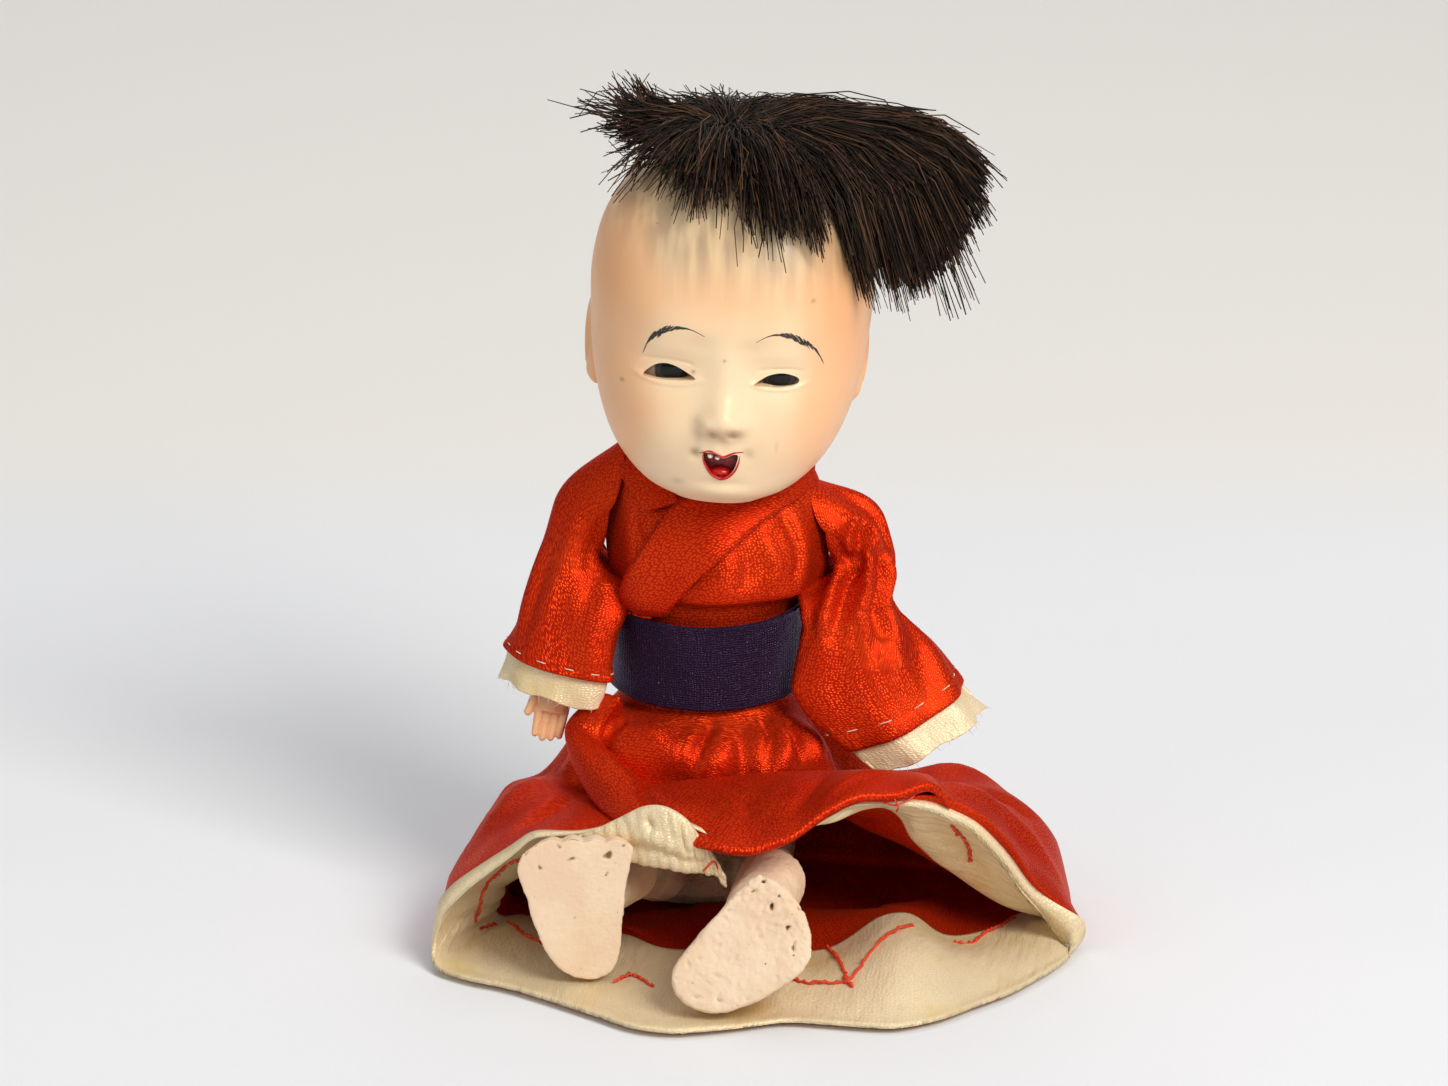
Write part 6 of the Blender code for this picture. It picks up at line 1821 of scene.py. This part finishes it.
def remeshed_copy(node, voxel, smooth_steps):
    """A fine, even copy of a CAD node's shape, as a bmesh in millimetres."""
    maker = bmesh.new()
    maker.from_mesh(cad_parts[node].data)
    bmesh.ops.remove_doubles(maker, verts=maker.verts, dist=1e-6)
    mesh = bpy.data.meshes.new("rough")
    maker.to_mesh(mesh)
    maker.free()
    rough = bpy.data.objects.new("rough", mesh)
    bpy.context.scene.collection.objects.link(rough)
    grain = rough.modifiers.new("even grain", "REMESH")
    grain.mode = "VOXEL"
    grain.voxel_size = voxel * MM
    even = evaluated_mesh(rough)
    bpy.data.objects.remove(rough)
    maker = bmesh.new()
    maker.from_mesh(even)
    bpy.data.meshes.remove(even)
    bmesh.ops.scale(maker, vec=(1.0 / MM,) * 3, verts=maker.verts)
    for _ in range(smooth_steps):
        bmesh.ops.smooth_vert(
            maker, verts=maker.verts, factor=0.5, use_axis_x=True, use_axis_y=True, use_axis_z=True
        )
    return maker


def sole_matrix(side):
    """From the sole's own frame, across, into the foot and from heel to toes, to the doll's."""
    heel, roll, lean, yaw = SOLES[side]
    return (
        Matrix.Translation(heel)
        @ Euler((0.0, 0.0, math.radians(yaw))).to_matrix().to_4x4()
        @ Euler((math.radians(-lean), 0.0, 0.0)).to_matrix().to_4x4()
        @ Euler((0.0, math.radians(roll), 0.0)).to_matrix().to_4x4()
    )


def build_feet(paints):
    """Lower legs with rough, chipped soles."""
    for side in SIDES:
        maker = remeshed_copy(f"lower_leg_{side}", 0.2, 4)
        inverse = sole_matrix(side).inverted()
        worn_layer = maker.verts.layers.float.new("worn")
        maker.normal_update()
        rougher = 1.0 if side == "left" else 0.55
        for vert in maker.verts:
            own = inverse @ vert.co
            toes = float(smooth_step(10.5, 17.0, own.z))
            sole = float(smooth_step(2.6, 0.2, own.y))
            broad = noise.fractal(vert.co * 0.32, 1.0, 2.0, 4) * 0.16
            rough = noise.turbulence(vert.co * 0.9, 4, True) - 0.7
            chips = rough * (0.12 + 0.42 * toes * rougher) * (0.35 + 0.65 * sole)
            pit = max(0.0, noise.noise(vert.co * 1.15 + Vector((7.0, 3.0, 1.0))) - 0.33)
            pit *= 1.6 * (0.35 + toes * rougher) * sole
            vert.co += vert.normal * (broad + chips * 0.8 - pit)
            if side == "right":
                own = inverse @ vert.co
                own.x *= 1.0 + 0.2 * float(smooth_step(9.0, 16.0, own.z))
                toe_line = 16.3 + 0.55 * abs(math.sin(own.x * 1.25 + 0.4))
                if own.z > toe_line:
                    own.z = toe_line + 0.12 * (own.z - toe_line)
                if own.y < 0.9:
                    own.y = 0.9 - 0.5 * (1.0 - math.exp(-(0.9 - own.y) * 2.0))
                vert.co = sole_matrix(side) @ own
            vert.co.z = max(vert.co.z, 0.75)
            vert[worn_layer] = min(1.0, 2.6 * pit + 0.5 * max(0.0, -rough - 0.35) * toes)
        foot = finish_piece(f"chalky_leg_{side}", maker, paints["foot"])
        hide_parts(f"lower_leg_{side}")


def build_hands(paints):
    """Forearms and hands, softened from the frame's shapes."""
    for side in SIDES:
        maker = remeshed_copy(f"forearm_{side}", 0.12, 3)
        for vert in maker.verts:
            vert.co += vert.normal * noise.fractal(vert.co * 0.6, 1.0, 2.0, 3) * 0.05
        hand = finish_piece(f"gofun_hand_{side}", maker, paints["skin"])
        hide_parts(f"forearm_{side}")
        # The hands are darkened a little all over.
        shade_evenly(hand, warm=0.62, wash=0.0, grime=0.08)


def dress_frame_nodes(paints):
    """Better finishes for the frame's own cloth limbs and paste trunk."""
    for node, paint in (
        ("trunk", "paste"), ("thigh_left", "cotton"), ("thigh_right", "cotton"),
        ("upper_arm_left", "cotton"), ("upper_arm_right", "cotton"),
    ):
        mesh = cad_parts[node].data
        mesh.materials.clear()
        mesh.materials.append(paints[paint])


# Stage


def build_floor(settings):
    """A pale cloth-covered table that turns up into a plain wall."""
    line = read_open(FLOOR_PROFILE, np.linspace(0.0, len(FLOOR_PROFILE) - 1.0, 90))
    maker = bmesh.new()
    bmesh.ops.create_grid(maker, x_segments=2, y_segments=len(line) - 1, size=0.5)
    for vert in maker.verts:
        j = round((vert.co.y + 0.5) * (len(line) - 1))
        vert.co = (vert.co.x * FLOOR_WIDTH, line[j, 0], max(line[j, 1], 0.0))
    bmesh.ops.recalc_face_normals(maker, faces=maker.faces)
    mesh = bpy.data.meshes.new("pale_table")
    maker.to_mesh(mesh)
    maker.free()
    mesh.shade_smooth()
    material, tree, shader = start_material("pale_cloth", Roughness=0.9, Specular_IOR_Level=0.1)
    place = in_millimetres(tree)
    tint = blend_colours(tree, ramp(tree, clouds(tree, place, 0.01, 3.0), 0.3, 0.7),
                         settings.floor_colour, tuple(c * 0.985 for c in settings.floor_colour))
    depth = add_node(tree, "ShaderNodeSeparateXYZ", {0: place}).outputs[1]
    tint = blend_colours(tree, ramp(tree, depth, 150.0, 240.0), tint, settings.wall_colour)
    tree.links.new(tint, shader.inputs["Base Color"])
    raise_bumps(tree, shader, clouds(tree, place, 1.6, 3.0), 0.12, 0.25)
    mesh.materials.append(material)
    table = bpy.data.objects.new("pale_table", mesh)
    bpy.context.scene.collection.objects.link(table)


def add_light(name, place, aim, size, power, colour):
    """A soft square lamp aimed at a point."""
    lamp = bpy.data.lights.new(name, "AREA")
    lamp.size = size
    lamp.energy = power
    lamp.color = colour
    held = bpy.data.objects.new(name, lamp)
    held.location = place
    held.rotation_euler = (Vector(aim) - Vector(place)).to_track_quat("-Z", "Y").to_euler()
    bpy.context.scene.collection.objects.link(held)


def build_stage_pieces(settings):
    """Floor, lamps, world and camera."""
    scene = bpy.context.scene
    build_floor(settings)
    for name, place, aim, size, power, colour in LAMPS:
        strength = settings.key_strength if name == "key" else 1.0
        add_light(name, place, aim, size, power * strength, colour)
    world = bpy.data.worlds.new("pale room")
    scene.world = world
    world.use_nodes = True
    background = world.node_tree.nodes["Background"]
    background.inputs["Color"].default_value = rgb(ROOM_COLOUR)
    background.inputs["Strength"].default_value = settings.room_strength
    lens = bpy.data.cameras.new("camera")
    lens.sensor_width = 36.0
    lens.lens = CAMERA_LENS
    lens.clip_start = 0.01
    lens.clip_end = 20.0
    camera = bpy.data.objects.new("camera", lens)
    away = Vector((0.0, -math.cos(CAMERA_ELEVATION), math.sin(CAMERA_ELEVATION)))
    camera.location = Vector(CAMERA_TARGET) + away * CAMERA_DISTANCE
    camera.rotation_euler = (-away).to_track_quat("-Z", "Y").to_euler()
    scene.collection.objects.link(camera)
    scene.camera = camera
    scene.view_settings.view_transform = "Standard"


# Add-on


def colour_property(name, description, default):
    return FloatVectorProperty(
        name=name, description=description, default=default,
        subtype="COLOR", size=3, min=0.0, max=1.0,
    )


class DollHeadSettings(bpy.types.PropertyGroup):
    """Colours of the painted head and limbs."""

    cream: colour_property("Face cream", "Gofun in the middle of the face", (0.88, 0.68, 0.44))
    # Peach and orange are laid on towards the sides and back of the head, as painted shade.
    peach: colour_property("Side peach", "Gofun towards the sides", (0.87, 0.50, 0.26))
    orange: colour_property("Temple orange", "Deepest warm tint", (0.84, 0.43, 0.20))
    ink: colour_property("Ink wash", "Brushed ink below the hair", (0.30, 0.19, 0.10))
    lip_colour: colour_property("Lips", "Painted lips", (0.62, 0.012, 0.01))
    mouth_colour: colour_property("Mouth", "Inside of the mouth", (0.66, 0.014, 0.014))
    pupil_colour: colour_property("Pupil", "Middle of the glass eye", (0.004, 0.004, 0.004))
    iris_colour: colour_property("Iris", "Ring of the glass eye", (0.03, 0.02, 0.015))
    eye_white_colour: colour_property("Eye white", "Corners of the glass eye", (0.24, 0.19, 0.15))
    foot_colour: colour_property("Sole chalk", "Gofun of the soles", (0.84, 0.66, 0.47))


class DollHairSettings(bpy.types.PropertyGroup):
    """Hair tuft."""

    strand_radius: FloatProperty(
        name="Strand radius", description="Radius of one fibre", default=0.000072, unit="LENGTH",
        precision=6,
    )
    hair_seed: IntProperty(name="Seed", description="Order of the strands", default=12)
    hair_colour: colour_property("Hair", "Darkest fibre", (0.006, 0.0045, 0.004))
    hair_brown: colour_property("Brown hair", "Brownest fibre", (0.10, 0.048, 0.026))


class KimonoSettings(bpy.types.PropertyGroup):
    """Colours of the clothes."""

    red: colour_property("Red silk", "Kimono", (0.80, 0.058, 0.007))
    # The deep red is the darker end of the silk's tone: painted shade between the raised threads,
    # and broad patches at random.
    deep_red: colour_property("Deep red", "Kimono between its threads", (0.44, 0.013, 0.003))
    cream: colour_property("Cream silk", "Lining", (0.93, 0.76, 0.49))
    purple: colour_property("Purple ribbon", "Obi", (0.019, 0.006, 0.032))


class DollStageSettings(bpy.types.PropertyGroup):
    """Floor, wall and lamps."""

    floor_colour: colour_property("Floor", "Table cloth", (0.82, 0.835, 0.87))
    wall_colour: colour_property("Wall", "Backdrop", (0.84, 0.82, 0.79))
    key_strength: FloatProperty(
        name="Key lamp", description="Share of its usual power", default=1.0
    )
    room_strength: FloatProperty(name="Room light", description="Light of the room", default=0.27)


PAINTS = {}
FACE = {}


def mix_paints(context):
    """All the doll's materials, made once."""
    head = context.scene.doll_head
    hair = context.scene.doll_hair
    kimono = context.scene.doll_kimono
    PAINTS["skin"] = skin_material((head.cream, head.peach, head.orange, head.ink))
    PAINTS["foot"] = foot_material((head.foot_colour, (0.80, 0.58, 0.40), (0.20, 0.09, 0.045)))
    PAINTS["lips"] = lacquer_material("lip_red", head.lip_colour, (0.42, 0.006, 0.006), 0.32)
    PAINTS["mouth"] = lacquer_material("mouth_red", head.mouth_colour, (0.12, 0.002, 0.002), 0.4)
    PAINTS["teeth"] = lacquer_material("tooth_white", (0.85, 0.78, 0.68), (0.72, 0.62, 0.5), 0.3)
    PAINTS["ink"] = lacquer_material("brow_ink", (0.045, 0.035, 0.03), (0.02, 0.015, 0.012), 0.6)
    PAINTS["hair"] = hair_material(hair.hair_colour, hair.hair_brown)
    PAINTS["red"] = silk_material(
        "red_crepe_satin", kimono.red, kimono.deep_red, (1.0, 0.30, 0.10),
        (0.42, 0.36), 0.075, tinted_gloss=0.55,
    )
    PAINTS["cream"] = silk_material(
        "cream_crepe_satin", kimono.cream, tuple(0.8 * c for c in kimono.cream), (1.0, 0.9, 0.72),
        (0.5, 0.3), 0.08, stain=(0.74, 0.55, 0.23), tinted_gloss=0.2, crumple_depth=0.7,
    )
    PAINTS["ribbon"] = ribbon_material(kimono.purple, (0.75, 0.6, 1.0), (0.35, 0.3, 0.42))
    PAINTS["thread"] = lacquer_material(
        "red_thread", (0.80, 0.07, 0.012), (0.60, 0.03, 0.006), 0.6
    )
    PAINTS["white_thread"] = lacquer_material(
        "pale_thread", (0.80, 0.68, 0.5), (0.62, 0.5, 0.34), 0.7
    )
    PAINTS["paste"] = plain_weave_material("aged_paste", (0.62, 0.50, 0.36), (0.45, 0.33, 0.2))
    PAINTS["cotton"] = plain_weave_material("limb_cotton", (0.70, 0.62, 0.48), (0.5, 0.42, 0.3))


class DOLL_OT_head(bpy.types.Operator):
    """Builds the painted head, eyes, mouth, brows, ears and neck"""

    bl_idname = "doll.build_head"
    bl_label = "Head"

    def execute(self, context):
        mix_paints(context)
        FACE["surface"] = build_head_pieces(context.scene.doll_head, PAINTS)
        return {"FINISHED"}


class DOLL_OT_hair(bpy.types.Operator):
    """Builds the tuft of coarse hair"""

    bl_idname = "doll.build_hair"
    bl_label = "Hair"

    def execute(self, context):
        build_hair_pieces(context.scene.doll_hair, PAINTS, FACE["surface"])
        return {"FINISHED"}


class DOLL_OT_limbs(bpy.types.Operator):
    """Builds the hands and feet and finishes the frame's own nodes"""

    bl_idname = "doll.build_limbs"
    bl_label = "Limbs"

    def execute(self, context):
        build_feet(PAINTS)
        build_hands(PAINTS)
        dress_frame_nodes(PAINTS)
        return {"FINISHED"}


class DOLL_OT_kimono(bpy.types.Operator):
    """Builds the kimono's skirt, bodice, collar and sleeves"""

    bl_idname = "doll.build_kimono"
    bl_label = "Kimono"

    def execute(self, context):
        build_skirt_pieces(PAINTS)
        build_bodice_pieces(PAINTS)
        build_sleeve_pieces(PAINTS)
        return {"FINISHED"}


class DOLL_OT_obi(bpy.types.Operator):
    """Builds the obi"""

    bl_idname = "doll.build_obi"
    bl_label = "Obi"

    def execute(self, context):
        build_obi_piece(PAINTS)
        return {"FINISHED"}


class DOLL_OT_stage(bpy.types.Operator):
    """Sets the floor, lamps, world and camera"""

    bl_idname = "doll.build_stage"
    bl_label = "Stage"

    def execute(self, context):
        build_stage_pieces(context.scene.doll_stage)
        return {"FINISHED"}


class DOLL_PT_panel(bpy.types.Panel):
    """Lists the doll's pieces"""

    bl_idname = "DOLL_PT_panel"
    bl_label = "Doll"
    bl_space_type = "VIEW_3D"
    bl_region_type = "UI"
    bl_category = "Doll"

    def draw(self, context):
        for operator in OPERATORS:
            self.layout.operator(operator.bl_idname)
        for settings in (context.scene.doll_head, context.scene.doll_hair,
                         context.scene.doll_kimono, context.scene.doll_stage):
            for name in settings.__annotations__:
                self.layout.prop(settings, name)


GROUPS = {
    "doll_head": DollHeadSettings,
    "doll_hair": DollHairSettings,
    "doll_kimono": KimonoSettings,
    "doll_stage": DollStageSettings,
}
OPERATORS = (DOLL_OT_head, DOLL_OT_hair, DOLL_OT_limbs, DOLL_OT_kimono, DOLL_OT_obi, DOLL_OT_stage)


def register():
    for cls in (*GROUPS.values(), *OPERATORS, DOLL_PT_panel):
        bpy.utils.register_class(cls)
    for name, group in GROUPS.items():
        setattr(bpy.types.Scene, name, PointerProperty(type=group))


def unregister():
    for name in GROUPS:
        delattr(bpy.types.Scene, name)
    for cls in (DOLL_PT_panel, *reversed(OPERATORS), *reversed(tuple(GROUPS.values()))):
        bpy.utils.unregister_class(cls)


def main():
    register()
    bpy.ops.doll.build_head()
    bpy.ops.doll.build_hair()
    bpy.ops.doll.build_limbs()
    bpy.ops.doll.build_kimono()
    bpy.ops.doll.build_obi()
    bpy.ops.doll.build_stage()


if __name__ == "__main__":
    main()
